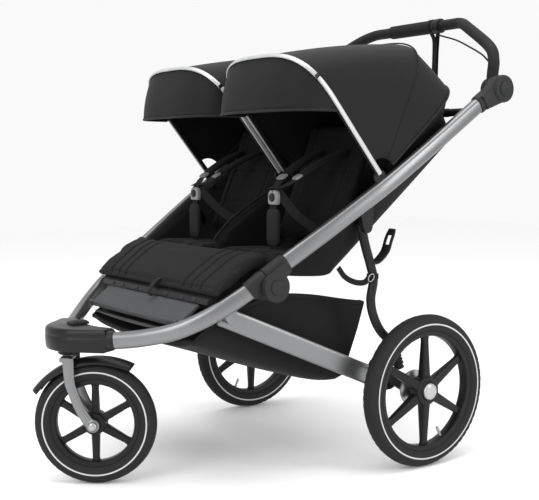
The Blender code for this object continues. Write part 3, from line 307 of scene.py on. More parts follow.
def close_plate(bm, rings, round_edges, steps):
    """Two like rings made into a plate, its rims rounded."""
    n = len(rings[0])
    bm.faces.new(rings[0])
    bm.faces.new(list(reversed(rings[1])))
    for j in range(n):
        k = (j + 1) % n
        bm.faces.new((rings[0][j], rings[1][j], rings[1][k], rings[0][k]))
    if round_edges:
        rim = [bm.edges.get((ring[j], ring[(j + 1) % n])) for ring in rings for j in range(n)]
        bmesh.ops.bevel(bm, geom=rim, offset=round_edges, segments=steps, profile=0.5, affect="EDGES",
                        clamp_overlap=True)


def prism(bm, outline, low_x, high_x, round_edges=0.0, steps=3):
    """A plate with an outline in the side view, from low_x to high_x, with rounded rims."""
    rings = []
    for x in (low_x, high_x):
        rings.append([bm.verts.new(at(x, y, z)) for y, z in outline])
    close_plate(bm, rings, round_edges, steps)


def side_plate(bm, outline, near, far, side, round_edges=0.0, steps=3):
    """The same plate on one side of the middle, between two distances out."""
    low, high = sorted((near * side, far * side))
    prism(bm, outline, low, high, round_edges, steps)


def disc(center_y, center_z, radius, count=40, start=0.0, stop=360.0):
    """Points on an arc in the side view."""
    return [(center_y + radius * math.cos(math.radians(start + (stop - start) * i / count)),
             center_z + radius * math.sin(math.radians(start + (stop - start) * i / count)))
            for i in range(count if abs(stop - start) >= 360 else count + 1)]


def lathe(bm, profile, center, axis=Vector((1, 0, 0)), steps=64):
    """A profile of (radius, offset) turned about an axis through center; radius 0 closes it."""
    axis = axis.normalized()
    u = axis.orthogonal().normalized()
    v = axis.cross(u)
    rings = []
    for r, h in profile:
        if r < 1e-6:
            rings.append([bm.verts.new(center + axis * h)])
        else:
            rings.append([bm.verts.new(center + axis * h + (u * math.cos(2 * math.pi * k / steps)
                                                            + v * math.sin(2 * math.pi * k / steps)) * r)
                          for k in range(steps)])
    for a, b in zip(rings, rings[1:]):
        for k in range(steps):
            m = (k + 1) % steps
            if len(a) == 1 and len(b) > 1:
                bm.faces.new((a[0], b[m], b[k]))
            elif len(b) == 1 and len(a) > 1:
                bm.faces.new((a[k], a[m], b[0]))
            elif len(a) > 1:
                bm.faces.new((a[k], a[m], b[m], b[k]))


HINGE_X, HANDLE_X = 0.326, 0.390
TUBE_W, TUBE_H = 0.027, 0.039
TUBE_RISE = 0.022
hinge_at = joint["frame_fold"]["pos_m"]
handle_at = joint["handlebar_tilt"]["pos_m"]
FOLD = Vector((0.0, hinge_at[1], hinge_at[2]))
HANDLE = Vector((0.0, handle_at[1], handle_at[2]))
tube_dir = Vector((0.0, HANDLE.y - FOLD.y, HANDLE.z - FOLD.z - TUBE_RISE)).normalized()
tube_up = Vector((0.0, -tube_dir.z, tube_dir.y))
FLARE = HANDLE_X - HINGE_X
RUN = (HANDLE - FOLD).dot(tube_dir) - 0.034


def along(distance, x, rise=TUBE_RISE):
    """A point beside the fold axis, measured along the upper tube."""
    return FOLD + tube_dir * distance + tube_up * rise + Vector((x, 0.0, 0.0))


def flip(points, side):
    return [Vector((p.x * side, p.y, p.z)) for p in points]


UPPER = [along(distance, HINGE_X + share * FLARE)
         for distance, share in ((0.030, 0.05), (0.19, 0.47), (0.30, 0.72), (0.38, 0.88))]
UPPER += [along(0.50, HANDLE_X - 0.002), along(0.62, HANDLE_X), along(RUN, HANDLE_X)]
NOSE_Z = 0.349
LOWER = [at(0.100, -0.7335, NOSE_Z), at(0.144, -0.701, NOSE_Z + 0.0045), at(0.188, -0.668, NOSE_Z + 0.0135),
         at(0.232, -0.631, NOSE_Z + 0.027), at(0.266, -0.592, NOSE_Z + 0.047),
         at(0.295, -0.545, NOSE_Z + 0.076), at(0.318, -0.483, 0.465), along(-0.030, HINGE_X - 0.05 * FLARE)]
SIDES = (("left", 1.0), ("right", -1.0))
link_y, link_z = joint["link_fold"]["pos_m"][1] - AXLE_Y, joint["link_fold"]["pos_m"][2]
strut_y, strut_z = joint["strut_fold"]["pos_m"][1] - AXLE_Y, joint["strut_fold"]["pos_m"][2]
black_coat = surface("black_powder_coat", (0.010, 0.010, 0.011), (0.016, 0.016, 0.017), (0.38, 0.52), 900,
                     14, 0.00004)
for name, side in SIDES:
    bm = bmesh.new()
    sweep(bm, smooth_run(flip(UPPER, side), 8), rounded(TUBE_W, TUBE_H))
    top = along((link_y + AXLE_Y - FOLD.y) / tube_dir.y, 0)
    tab = [(top.y - AXLE_Y - 0.020, top.z - 0.008), (link_y - 0.013, link_z)] \
        + disc(link_y, link_z, 0.013, 10, 190, 350) \
        + [(link_y + 0.013, link_z), (top.y - AXLE_Y + 0.032, top.z + 0.020)]
    new_piece("upper_rail_" + name, bm, "main_frame", satin_aluminium,
              ["upper_tube_" + name])
    bm = bmesh.new()
    side_plate(bm, tab, 0.3510, 0.3635, side, 0.0015, 2)
    new_piece("link_bracket_" + name, bm, "main_frame", black_coat)
    bm = bmesh.new()
    sweep(bm, smooth_run(flip(LOWER, side), 8), rounded(TUBE_W, TUBE_H))
    tab = [(strut_y - 0.026, strut_z + 0.020)] + disc(strut_y, strut_z, 0.013, 10, 190, 350) \
        + [(strut_y + 0.020, strut_z + 0.050)]
    side_plate(bm, tab, 0.2840, 0.3010, side, 0.0015, 2)
    new_piece("lower_rail_" + name, bm, "lower_frame", satin_aluminium,
              ["lower_tube_" + name])

# ---- Fold joints: a moulded cover on each rail's end, the inner and outer ears turning on one
# bolt under a flat round cap. Glass-filled nylon with a fine spark grain.
moulded = surface("dark_moulded_nylon", (0.0130, 0.0132, 0.0140), (0.0210, 0.0214, 0.0226), (0.42, 0.58),
                  1400, 18, 0.00007)
EAR_R = 0.034
for name, side in SIDES:
    for part, body, runs, near, far, neck in (
            ("upper", "main_frame", [along(0.0012, HINGE_X), UPPER[0], along(0.062, HINGE_X + 0.145 * FLARE)],
             0.3448, 0.3575, 0.052),
            ("lower", "lower_frame", [along(-0.0012, HINGE_X), LOWER[-1], LOWER[-2]], 0.3050, 0.2925,
             -0.040)):
        bm = bmesh.new()
        run = smooth_run(flip(runs, side), 6)
        ends = [0.955] + [1.0] * (len(run) - 2) + [0.955]
        sweep(bm, run, rounded(TUBE_W + 0.0075, TUBE_H + 0.0075), widths=ends)
        side_plate(bm, disc(FOLD.y - AXLE_Y, FOLD.z, EAR_R, 48), near, far, side, 0.003, 3)
        direction = math.copysign(1.0, neck)
        web = [along(0.004 * direction, 0, 0.0), along(neck, 0, 0.006), along(neck, 0, 0.034),
               along(0.002 * direction, 0, 0.032)]
        recess = 0.0008 if far < HINGE_X else -0.0008
        side_plate(bm, [(p.y - AXLE_Y, p.z) for p in web], HINGE_X, far + recess, side)
        new_piece("fold_shroud_" + part + "_" + name, bm, body, moulded,
                  ["fold_cover_" + part + "_" + name])
    bm = bmesh.new()
    cap = [(0.0, 0.0030), (0.010, 0.0029), (0.0165, 0.0024), (0.0175, 0.0012), (0.0175, 0.0), (0.0, 0.0)]
    lathe(bm, [(r, h * side) for r, h in cap], FOLD + Vector((0.3580 * side, 0, 0)), steps=48)
    new_piece("fold_cap_" + name, bm, "main_frame", moulded, ["fold_bolt_" + name])

# ---- Nose: one moulded casting that takes both rail ends and the steering stem, with a lip
# over the top and a small sliding lock button.
gloss_black = surface("black_moulding", (0.008, 0.008, 0.009), (0.014, 0.014, 0.015), (0.28, 0.40), 1200, 10,
                      0.00003)
NOSE_TIP, STEER_Y = -0.826, -0.775
half_nose = [(0.0, NOSE_TIP), (0.020, NOSE_TIP + 0.0015), (0.040, NOSE_TIP + 0.008),
             (0.062, NOSE_TIP + 0.025), (0.084, NOSE_TIP + 0.050), (0.104, NOSE_TIP + 0.070),
             (0.119, NOSE_TIP + 0.086), (0.100, NOSE_TIP + 0.121), (0.072, NOSE_TIP + 0.106),
             (0.036, NOSE_TIP + 0.098), (0.0, NOSE_TIP + 0.097)]
nose_ring = half_nose + [(-x, y) for x, y in reversed(half_nose[1:-1])]
nose_levels = [(-0.0270, 0.90), (-0.0255, 0.955), (-0.020, 0.985), (-0.008, 1.0), (0.006, 1.0),
               (0.0075, 0.985), (0.009, 1.0), (0.018, 0.99), (0.0235, 0.955), (0.0262, 0.90), (0.0270, 0.80)]
bm = bmesh.new()
middle_y = NOSE_TIP + 0.060
rings = []
for dz, scale in nose_levels:
    rings.append([bm.verts.new(at(x * (1 - (1 - scale) * 0.55), middle_y + (y - middle_y) * scale,
                                  NOSE_Z + dz))
                  for x, y in nose_ring])
bridge(bm, rings, closed=True)
bm.faces.new(rings[0])
bm.faces.new(list(reversed(rings[-1])))
lathe(bm, [(0.0, -0.0405), (0.024, -0.0405), (0.0265, -0.038), (0.0265, -0.020), (0.0, -0.020)],
      at(0, STEER_Y, NOSE_Z), Vector((0, 0, 1)), 48)
for side in (1, -1):
    run = smooth_run(flip(LOWER[:3], side), 6)[:4]
    sweep(bm, run, rounded(TUBE_W + 0.007, TUBE_H + 0.005), widths=[1.0, 1.0, 0.99, 0.94])
new_piece("nose_cover", bm, "lower_frame", gloss_black, ["nose_housing"], 34)

bm = bmesh.new()
lock_low, lock_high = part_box("swivel_lock")
for k in range(5):
    y = lock_low.y - AXLE_Y + 0.007 + k * 0.0075
    prism(bm, [(y, lock_high.z - 0.004), (y + 0.0035, lock_high.z - 0.004),
               (y + 0.0035, lock_high.z - 0.0002), (y, lock_high.z - 0.0002)], -0.011, 0.011, 0.0006, 1)
slab = [(lock_low.y - AXLE_Y, lock_low.z), (lock_high.y - AXLE_Y, lock_low.z),
        (lock_high.y - AXLE_Y, lock_high.z - 0.004), (lock_high.y - AXLE_Y - 0.003, lock_high.z - 0.0015),
        (lock_low.y - AXLE_Y + 0.003, lock_high.z - 0.0015), (lock_low.y - AXLE_Y, lock_high.z - 0.004)]
prism(bm, slab, lock_low.x, lock_high.x, 0.0015, 2)
new_piece("swivel_lock_button", bm, "swivel_lock", moulded,
          ["swivel_lock"])

# ---- Caster: a forged fork on a steering stem, its two blades swept back to the axle, a
# moulded mudguard under the crown. All of it is set on the swivelled steering axis.
swivel = math.radians(-36.6)
caster_turn = Matrix.Rotation(swivel, 3, "Z")
STEER = at(0, STEER_Y, 0)
FRONT_R = 0.145
TRAIL = 0.060


def caster(x, y, z):
    """A point laid out from the steering axis in the fork's own turned frame."""
    return STEER + caster_turn @ Vector((x, y, z))


CROWN_Z = NOSE_Z - 0.027 - 0.014 - 0.002
BLADE_X = 0.0365
bm = bmesh.new()
crown_run = [caster(x, -0.0025, CROWN_Z - 0.0065) for x in np.linspace(-BLADE_X - 0.004, BLADE_X + 0.004, 13)]
sweep(bm, crown_run, rounded(0.029, 0.0120, 4.0), widths=[0.90, 0.98] + [1.0] * 9 + [0.98, 0.90])
for side in (1, -1):
    path = [(0.004, CROWN_Z - 0.003), (0.007, CROWN_Z - 0.055), (0.013, 0.228), (0.029, 0.187),
            (0.049, FRONT_R + 0.010), (0.058, FRONT_R + 0.002)]
    run = smooth_run([caster(BLADE_X * side, y, z) for y, z in path], 8)
    grow = [(1.0, 1.0 - 0.16 * math.sin(math.pi * i / (len(run) - 1))) for i in range(len(run))]
    sweep(bm, run, rounded(0.011, 0.027, 3.0), up=caster_turn @ Vector((0, 1, 0.2)), widths=grow)
    hub_line = caster_turn @ Vector((1, 0, 0))
    lathe(bm, [(0.0, -0.0056), (0.0135, -0.0056), (0.0150, -0.0045), (0.0150, 0.0045), (0.0135, 0.0056),
               (0.0, 0.0056)],
          caster(BLADE_X * side, TRAIL, FRONT_R), hub_line, 40)
lathe(bm, [(0.0, 0.0), (0.0155, 0.0), (0.0155, 0.0028), (0.010, 0.0045), (0.010, 0.014), (0.0, 0.014)],
      caster(0, 0, CROWN_Z - 0.0008), Vector((0, 0, 1)), 40)
new_piece("caster_fork_arms", bm, "caster_fork", satin_aluminium, ["fork"])

steel = surface("zinc_steel", (0.30, 0.30, 0.30), (0.42, 0.42, 0.42), (0.30, 0.45), 800, 20, 0.00003, 0.9)
bm = bmesh.new()
for side in (1, -1):
    nut = [(0.0, 0.0085), (0.006, 0.0082), (0.0085, 0.0070), (0.0105, 0.0045), (0.0113, 0.0), (0.0, 0.0)]
    lathe(bm, [(r, h * side) for r, h in nut], caster((BLADE_X + 0.0060) * side, TRAIL, FRONT_R), hub_line,
          6 if side < 0 else 36)
lathe(bm, [(0.0, -0.040), (0.0058, -0.040), (0.0058, 0.040), (0.0, 0.040)], caster(0, TRAIL, FRONT_R),
      hub_line, 24)
new_piece("front_axle_bolt", bm, "caster_fork", steel, ["front_axle"])

bm = bmesh.new()
GUARD_R, GUARD_HALF = FRONT_R + 0.0105, 0.0295
rows = []
for i in range(49):
    sweep_at = -1 + i / 24
    a = math.radians(104 + sweep_at * 48)
    row = []
    taper = 1.0 - 0.16 * max(0.0, abs(sweep_at) - 0.75) / 0.25
    for j in range(13):
        u = -1 + j / 6
        r = GUARD_R + 0.010 * sweep_at ** 2 - 0.014 * abs(u) ** 3
        row.append(bm.verts.new(caster(GUARD_HALF * taper * u, TRAIL + r * math.cos(a),
                                       FRONT_R + r * math.sin(a))))
    rows.append(row)
bridge(bm, rows)
def thicken(obj, thickness):
    """Gives a sheet its thickness, half to each side."""
    skin = obj.modifiers.new("thickness", "SOLIDIFY")
    skin.thickness, skin.offset = thickness, 0.0


guard = new_piece("mudguard", bm, "caster_fork", gloss_black, ["fender"], 0)
thicken(guard, 0.0028)

# ---- Wheels: an air tyre with a block tread and a pale reflective ring on each wall, on a
# moulded rim with six spokes that taper outwards; the rear pair has a drum and a silver cap.
BEAD_DEPTH, RIM_DEPTH, SPOKES = 0.040, 0.0405, 6
tyre_rubber = surface("tyre_rubber", (0.011, 0.011, 0.0115), (0.019, 0.019, 0.019), (0.62, 0.78), 700, 25,
                      0.00010)
ring_white = surface("reflective_ring", (0.42, 0.42, 0.415), (0.52, 0.52, 0.515), (0.35, 0.45), 900, 30,
                     0.00003)
rim_black = surface("rim_moulding", (0.007, 0.007, 0.008), (0.012, 0.012, 0.013), (0.30, 0.42), 1100, 16,
                    0.00004)


def outward(axis, angle):
    """Straight out from an axle, turned by the angle from upright."""
    up = Vector((0, 0, 1))
    return up * math.cos(angle) + axis.cross(up) * math.sin(angle)


def tyre_mesh(center, axis, radius, width, ring_r, ring_w, blocks):
    """A tyre ring: walls with a raised reflective line, shoulders and a tread of staggered blocks."""
    axis = axis.normalized()
    half = width / 2
    steps = blocks * 4
    bead = radius - BEAD_DEPTH
    wall = [(bead, half * 0.68), (bead + 0.004, half * 0.86)]
    for r in (ring_r - ring_w / 2, ring_r + ring_w / 2):
        bulge = half * (1 - ((r - (radius - 0.021)) / 0.026) ** 2 * 0.30)
        wall.append((r, min(half, bulge)))
    wall += [(radius - 0.0115, half * 0.93), (radius - 0.0070, half * 0.80), (radius - 0.0030, half * 0.55),
             (radius - 0.0012, half * 0.28)]
    section = wall + [(radius, 0.0)] + [(r, -h) for r, h in reversed(wall)]
    bm = bmesh.new()
    rings = []
    for k in range(steps):
        out = outward(axis, 2 * math.pi * k / steps)
        ring = []
        for i, (r, h) in enumerate(section):
            tread = min(abs(i - len(section) // 2), 4)
            lift = 0.0
            if tread in (1, 2, 3):
                phase = (k + (2 if tread == 2 else 0) + (2 if h < 0 else 0)) % 4
                lift = -0.0016 if phase == 0 else 0.0
            ring.append(bm.verts.new(center + out * (r + lift) + axis * h))
        rings.append(ring)
    pale = []
    n = len(section)
    for k in range(steps):
        a, b = rings[k], rings[(k + 1) % steps]
        for i in range(n - 1):
            face = bm.faces.new((a[i], a[i + 1], b[i + 1], b[i]))
            if i in (2, n - 4):
                pale.append(face)
        bm.faces.new((a[n - 1], a[0], b[0], b[n - 1]))
    bmesh.ops.recalc_face_normals(bm, faces=bm.faces)
    for face in pale:
        face.material_index = 1
    mesh = bpy.data.meshes.new("tyre")
    bm.to_mesh(mesh)
    bm.free()
    return mesh


def rim_mesh(center, axis, radius, width, hub_r, hub_half, spoke_in, spoke_out, dish, pocket=0.0):
    """A six-spoke moulded wheel: channel rim, spokes with softened edges, round hub with a step."""
    axis = axis.normalized()
    rim_r = radius - RIM_DEPTH
    half = width * 0.34
    bm = bmesh.new()
    profile = [(rim_r - 0.0005, half), (rim_r + 0.0012, half * 0.9), (rim_r - 0.004, half * 0.62),
               (rim_r - 0.004, -half * 0.62), (rim_r + 0.0012, -half * 0.9), (rim_r - 0.0005, -half),
               (rim_r - 0.0035, -half), (rim_r - 0.0110, -half * 0.86), (rim_r - 0.0125, -half * 0.70),
               (rim_r - 0.0125, half * 0.70), (rim_r - 0.0110, half * 0.86), (rim_r - 0.0035, half),
               (rim_r - 0.0005, half)]
    lathe(bm, profile[:-1] + [profile[0]], center, axis, 96)
    hub = [(0.0, hub_half), (hub_r * 0.60, hub_half), (hub_r * 0.64, hub_half - 0.001),
           (hub_r * 0.68, hub_half - 0.004), (hub_r * 0.93, hub_half - 0.005), (hub_r, hub_half - 0.008),
           (hub_r, -hub_half + 0.008), (hub_r * 0.93, -hub_half + 0.005), (hub_r * 0.60, -hub_half),
           (0.0, -hub_half)]
    if pocket:
        hub = [(0.0, hub_half - 0.0075), (pocket, hub_half - 0.0075), (pocket, hub_half - 0.0006),
               (pocket + 0.0008, hub_half)] + hub[2:]
    lathe(bm, hub, center, axis, 64)
    for k in range(SPOKES):
        out = outward(axis, k * math.pi * 2 / SPOKES)
        cross = axis.cross(out)
        rings = []
        for i in range(13):
            t = i / 12
            r = hub_r * 0.80 + (rim_r - 0.010 - hub_r * 0.80) * t
            flare = 0.010 * max(0.0, (t - 0.85) / 0.15) ** 2 + 0.006 * max(0.0, (0.12 - t) / 0.12) ** 2
            wide = spoke_in + (spoke_out - spoke_in) * t + flare
            deep = dish + (0.012 - dish) * t
            section = rounded(wide, deep, 4.5, 20)
            rings.append([bm.verts.new(center + out * r + cross * p + axis * q) for p, q in section])
        bridge(bm, rings, closed=True)
        bm.faces.new(rings[0])
        bm.faces.new(list(reversed(rings[-1])))
    return bm_mesh(bm, "rim")


front_axis = Vector(joint["front_wheel_spin"]["axis"])
FRONT_HUB = caster(0, TRAIL, FRONT_R)
new_piece("front_wheel_tyre", tyre_mesh(FRONT_HUB, front_axis, FRONT_R, 0.044, 0.1223, 0.0034, 46),
          "front_wheel", [tyre_rubber, ring_white], ["front_tyre"])
new_piece("front_wheel_rim", rim_mesh(FRONT_HUB, front_axis, FRONT_R, 0.044, 0.026, 0.0283, 0.019, 0.0155,
                                      0.030),
          "front_wheel", rim_black, ["front_rim"])


def valve(name, hub, axis, rim_r, angle, body):
    """A tyre valve: a short stem under a wider cap, all in zinc steel, standing in from the rim."""
    out = outward(axis, angle)
    bm = bmesh.new()
    profile = [(0.0, 0.0), (0.0042, 0.0), (0.0036, -0.006), (0.0030, -0.014), (0.0039, -0.0145),
               (0.0039, -0.024), (0.0026, -0.027), (0.0, -0.027)]
    lathe(bm, profile, hub + out * (rim_r - 0.0125), out, 20)
    new_piece(name, bm_mesh(bm, "valve"), body, steel)


valve("front_valve", FRONT_HUB, front_axis, FRONT_R - RIM_DEPTH, math.radians(116), "front_wheel")

cap_silver = surface("silver_cap", (0.36, 0.365, 0.37), (0.44, 0.445, 0.45), (0.30, 0.40), 900, 22, 0.00003,
                     0.6)
REAR_R, HALF_TRACK = 0.190, 0.382
for name, side in SIDES:
    hub_at = at(HALF_TRACK * side, 0, REAR_R)
    out = Vector((side, 0, 0))
    body = "rear_wheel_" + name
    new_piece("rear_wheel_tyre_" + name, tyre_mesh(hub_at, out, REAR_R, 0.046, 0.1673, 0.0036, 60), body,
              [tyre_rubber, ring_white], ["rear_tyre_" + name])
    new_piece("rear_wheel_rim_" + name, rim_mesh(hub_at, out, REAR_R, 0.046, 0.036, 0.0209, 0.0250, 0.0165,
                                                 0.026, 0.0216), body,
              rim_black, ["rear_rim_" + name])
    valve("rear_valve_" + name, hub_at, out, REAR_R - RIM_DEPTH, math.radians(205), body)
    bm = bmesh.new()
    cap = [(0.0, 0.0065), (0.0125, 0.0063), (0.0178, 0.0052), (0.0202, 0.0030), (0.0208, 0.0), (0.0, 0.0)]
    lathe(bm, cap, hub_at + out * 0.0210, out, 56)
    lathe(bm, [(0.0, 0.0006), (0.0045, 0.0006), (0.0052, 0.0), (0.0, 0.0)], hub_at + out * 0.0273, out, 32)
    new_piece("wheel_release_cap_" + name, bm, "hub_button_" + name, cap_silver,
              ["hub_button_" + name])
    bm = bmesh.new()
    drum_low, drum_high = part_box("brake_drum_" + name)
    inner, outer = sorted((abs(drum_low.x), abs(drum_high.x)))
    drum = [(0.0, 0.0), (0.040, 0.0), (0.0455, 0.002), (0.0455, outer - inner - 0.002),
            (0.043, outer - inner), (0.0, outer - inner)]
    lathe(bm, drum, at(inner * side, 0, REAR_R), out, 64)
    for k in range(18):
        a = 2 * math.pi * k / 18
        lathe(bm, [(0.0, -0.0012), (0.0026, -0.0012), (0.0026, 0.0), (0.0, 0.0)],
              at(inner * side, 0.037 * math.cos(a), REAR_R + 0.037 * math.sin(a)), out, 12)
    new_piece("brake_disc_" + name, bm, body, steel, ["brake_drum_" + name])

# ---- Rear frame: two flat aluminium struts to the axle brackets, the cross beam, and a hinged
# arm a side that carries the wheel under a ribbed rubber boot. The brake pedal is on the beam.
STRUT_FRONT_X, STRUT_REAR_X, STRUT_END = 0.272, 0.316, (-0.115, 0.228)
for name, side in SIDES:
    start = at(STRUT_FRONT_X * side, strut_y, strut_z)
    stop = at(STRUT_REAR_X * side, *STRUT_END)
    ahead = (start - stop).normalized()
    spots = [start + ahead * d for d in (0.0130, 0.0115, 0.008)] + [start.lerp(stop,
            t) for t in np.linspace(0, 1, 14)]
    ends = [(0.80, 0.90), (0.94, 0.97), (1.0, 1.0)] + [(1.0, 1.0)] * 14
    bm = bmesh.new()
    sweep(bm, spots, rounded(0.018, 0.048, 4.6, 40), widths=ends)
    lathe(bm, [(0.0, 0.0), (0.0105, 0.0), (0.0112, 0.0012), (0.0095, 0.0030), (0.0, 0.0034)],
          at(0.2815 * side, strut_y, strut_z), Vector((side, 0, 0)), 32)
    new_piece("side_strut_" + name, bm, "rear_frame", satin_aluminium,
              ["strut_" + name])

BEAM = (-0.060, 0.207)
bracket = [(-0.130, 0.206), (-0.118, 0.199), (-0.100, 0.194), (-0.078, 0.190), (-0.060, 0.189),
           (-0.048, 0.193), (-0.044, 0.200), (-0.045, 0.213), (-0.050, 0.222), (-0.066, 0.230),
           (-0.072, 0.248), (-0.081, 0.262), (-0.095, 0.268), (-0.110, 0.267), (-0.122, 0.250),
           (-0.129, 0.226)]
bm = bmesh.new()
beam_profile = [(0.0, -0.305), (0.0115, -0.305), (0.0118, -0.290), (0.0118, 0.290), (0.0115, 0.305),
                (0.0, 0.305)]
lathe(bm, beam_profile, at(0, *BEAM), steps=40)
for side in (1, -1):
    side_plate(bm, bracket, 0.3035, 0.3270, side, 0.0035, 3)
    for spot in ((-0.100, 0.240), BEAM):
        lathe(bm, [(0.0, 0.0), (0.0075, 0.0), (0.0075, 0.003), (0.0060, 0.0042), (0.0, 0.0042)],
              at(0.3265 * side, *spot), Vector((side, 0, 0)), 28)
new_piece("axle_beam_brackets", bm, "rear_frame", black_coat,
          ["rear_axle_beam"])

boot_rubber = surface("boot_rubber", (0.012, 0.012, 0.012), (0.020, 0.020, 0.020), (0.55, 0.70), 1300, 24,
                      0.00006)
arm = [(-0.113, 0.242), (-0.110, 0.251), (-0.100, 0.2555), (-0.078, 0.247), (-0.045, 0.229), (-0.014, 0.213),
       (0.004, 0.211), (0.015, 0.202), (0.019, 0.190), (0.014, 0.177), (0.002, 0.170), (-0.012, 0.171),
       (-0.034, 0.186), (-0.070, 0.208), (-0.104, 0.229)]
for name, side in SIDES:
    bm = bmesh.new()
    side_plate(bm, arm, 0.3283, 0.3398, side, 0.0025, 3)
    lathe(bm, [(0.0, 0.0), (0.0079, 0.0), (0.0079, 0.054), (0.0072, 0.0555), (0.0, 0.0555)],
          at(0.3385 * side, 0, REAR_R), Vector((side, 0, 0)), 32)
    new_piece("suspension_arm_" + name, bm, "swing_arm_" + name, moulded,
              ["swing_arm_" + name])
    top, foot = at(0.334 * side, -0.062, 0.300), at(0.334 * side, -0.040, 0.243)
    bm = bmesh.new()
    line = (foot - top)
    profile = [(0.0, 0.0), (0.0105, 0.0), (0.0120, 0.002)]
    for k in range(5):
        s = 0.006 + 0.0095 * k
        profile += [(0.0118, s), (0.0148, s + 0.0028), (0.0150, s + 0.0042), (0.0118, s + 0.0070)]
    profile += [(0.0120, 0.0575), (0.0135, 0.0600), (0.0, line.length)]
    lathe(bm, profile, top, line, 40)
    new_piece("suspension_boot_" + name, bm, "swing_arm_" + name, boot_rubber,
              ["spring_boot_" + name])

bm = bmesh.new()
tread = [(-0.0455, 0.1775), (0.0015, 0.1770), (0.0020, 0.1800), (0.0, 0.1885), (-0.0445, 0.1890),
         (-0.0458, 0.1850)]
prism(bm, tread, -0.085, 0.085, 0.003, 3)
prism(bm, [(-0.0760, 0.1812), (-0.0400, 0.1812), (-0.0400, 0.1934), (-0.0520, 0.1934), (-0.0755, 0.1900)],
      -0.030, 0.030, 0.003, 2)
for k in range(9):
    x = -0.072 + 0.018 * k
    prism(bm, [(-0.030, 0.1882), (-0.004, 0.1882), (-0.005, 0.1893), (-0.029, 0.1893)], x - 0.003, x + 0.003)
new_piece("brake_pedal_tread", bm, "brake_pedal", moulded, ["brake_pedal"])

# ---- Folding links: a bent black steel tube a side from a pivot under the rail to the axle,
# with the slotted fold hook, and a webbing strap with a steel ring round the left one.
LINK_X, LINK_R = 0.338, 0.0115
LINK_RUN = [(link_y, link_z), (-0.158, 0.556), (-0.140, 0.505), (-0.131, 0.470), (-0.139, 0.425),
            (-0.131, 0.385), (-0.108, 0.345), (-0.072, 0.312)]


def tube_section(radius, sides=24):
    return rounded(2 * radius, 2 * radius, 2, sides)


for name, side in SIDES:
    bm = bmesh.new()
    run = smooth_run([at(LINK_X * side, y, z) for y, z in LINK_RUN], 7)
    sweep(bm, run, tube_section(LINK_R - 0.0002), up=None)
    eye = [(0.0, -LINK_R), (0.0150, -LINK_R), (0.0168, -LINK_R + 0.002), (0.0168, LINK_R - 0.002),
           (0.0150, LINK_R), (0.0085, LINK_R), (0.0080, LINK_R - 0.001), (0.0, LINK_R - 0.001)]
    lathe(bm, eye, at(LINK_X * side, link_y, link_z), Vector((side, 0, 0)), 44)
    new_piece("folding_link_" + name, bm, "rear_links", black_coat,
              ["link_" + name])

CATCH = [(-0.1440, 0.5100), (-0.121, 0.515), (-0.095, 0.5375), (-0.083, 0.566), (-0.0705, 0.5925)]
bm = bmesh.new()
spine = smooth_run([at(LINK_X, y, z) for y, z in CATCH], 10)
rows = []
for i, p in enumerate(spine):
    t = i / (len(spine) - 1)
    half = 0.0152 - 0.0045 * max(0.0, (t - 0.82) / 0.18) ** 2
    rows.append([bm.verts.new(p + Vector((x, 0, 0))) for x in (-half, -half * 0.45, half * 0.45, half)])
for i, (a, b) in enumerate(zip(rows, rows[1:])):
    t = (i + 0.5) / (len(spine) - 1)
    for j in range(3):
        if j == 1 and 0.66 < t < 0.86:
            continue
        bm.faces.new((a[j], a[j + 1], b[j + 1], b[j]))
hook = new_piece("fold_hook", bm, "rear_links", moulded, ["fold_catch"])
thicken(hook, 0.0038)
rim_round = hook.modifiers.new("edges", "BEVEL")
rim_round.width, rim_round.segments = 0.0010, 2

# A woven cloth: two thread directions crossing, drawn from the place on the piece.
weave = effect_group("woven_threads",
                     [("Threads", "NodeSocketFloat", 2500.0), ("Blotch scale", "NodeSocketFloat", 8.0),
                      ("Dark", "NodeSocketColor", (0.1, 0.1, 0.1, 1)),
                      ("Light", "NodeSocketColor", (0.2, 0.2, 0.2, 1))],
                     [("Color", "NodeSocketColor"), ("Height", "NodeSocketFloat")])
w_in, w_out = node_of(weave, "NodeGroupInput"), node_of(weave, "NodeGroupOutput")
spot = node_of(weave, "ShaderNodeTexCoord")
parts = node_of(weave, "ShaderNodeSeparateXYZ")
wire(weave, spot, "Object", parts, "Vector")


def weave_math(operation, a, b):
    node = node_of(weave, "ShaderNodeMath", operation=operation)
    for slot_index, source in ((0, a), (1, b)):
        if isinstance(source, (int, float)):
            node.inputs[slot_index].default_value = source
        else:
            weave.links.new(source, node.inputs[slot_index])
    return node.outputs["Value"]


lean_y = weave_math("MULTIPLY", parts.outputs["Y"], 0.7)
lean_z = weave_math("MULTIPLY", parts.outputs["Z"], 0.7)
warp = weave_math("SUBTRACT", weave_math("ADD", parts.outputs["X"], lean_y), lean_z)
weft = weave_math("ADD", parts.outputs["Y"], parts.outputs["Z"])
warp_wave = weave_math("SINE", weave_math("MULTIPLY", warp, w_in.outputs["Threads"]), 0.0)
weft_wave = weave_math("SINE", weave_math("MULTIPLY", weft, w_in.outputs["Threads"]), 0.0)
cross = weave_math("MULTIPLY_ADD", warp_wave, weft_wave)
cross.node.inputs[2].default_value = 0.5
cloudy = node_of(weave, "ShaderNodeTexNoise")
cloudy.inputs["Detail"].default_value = 5.0
wire(weave, spot, "Object", cloudy, "Vector")
wire(weave, w_in, "Blotch scale", cloudy, "Scale")
blend_fac = weave_math("MULTIPLY_ADD", cross, 0.35)
weave.links.new(cloudy.outputs["Fac"], blend_fac.node.inputs[2])
shade = node_of(weave, "ShaderNodeMix", data_type="RGBA")
weave.links.new(blend_fac, shade.inputs["Factor"])
wire(weave, w_in, "Dark", shade, "A")
wire(weave, w_in, "Light", shade, "B")
wire(weave, shade, "Result", w_out, "Color")
weave.links.new(cross, w_out.inputs["Height"])


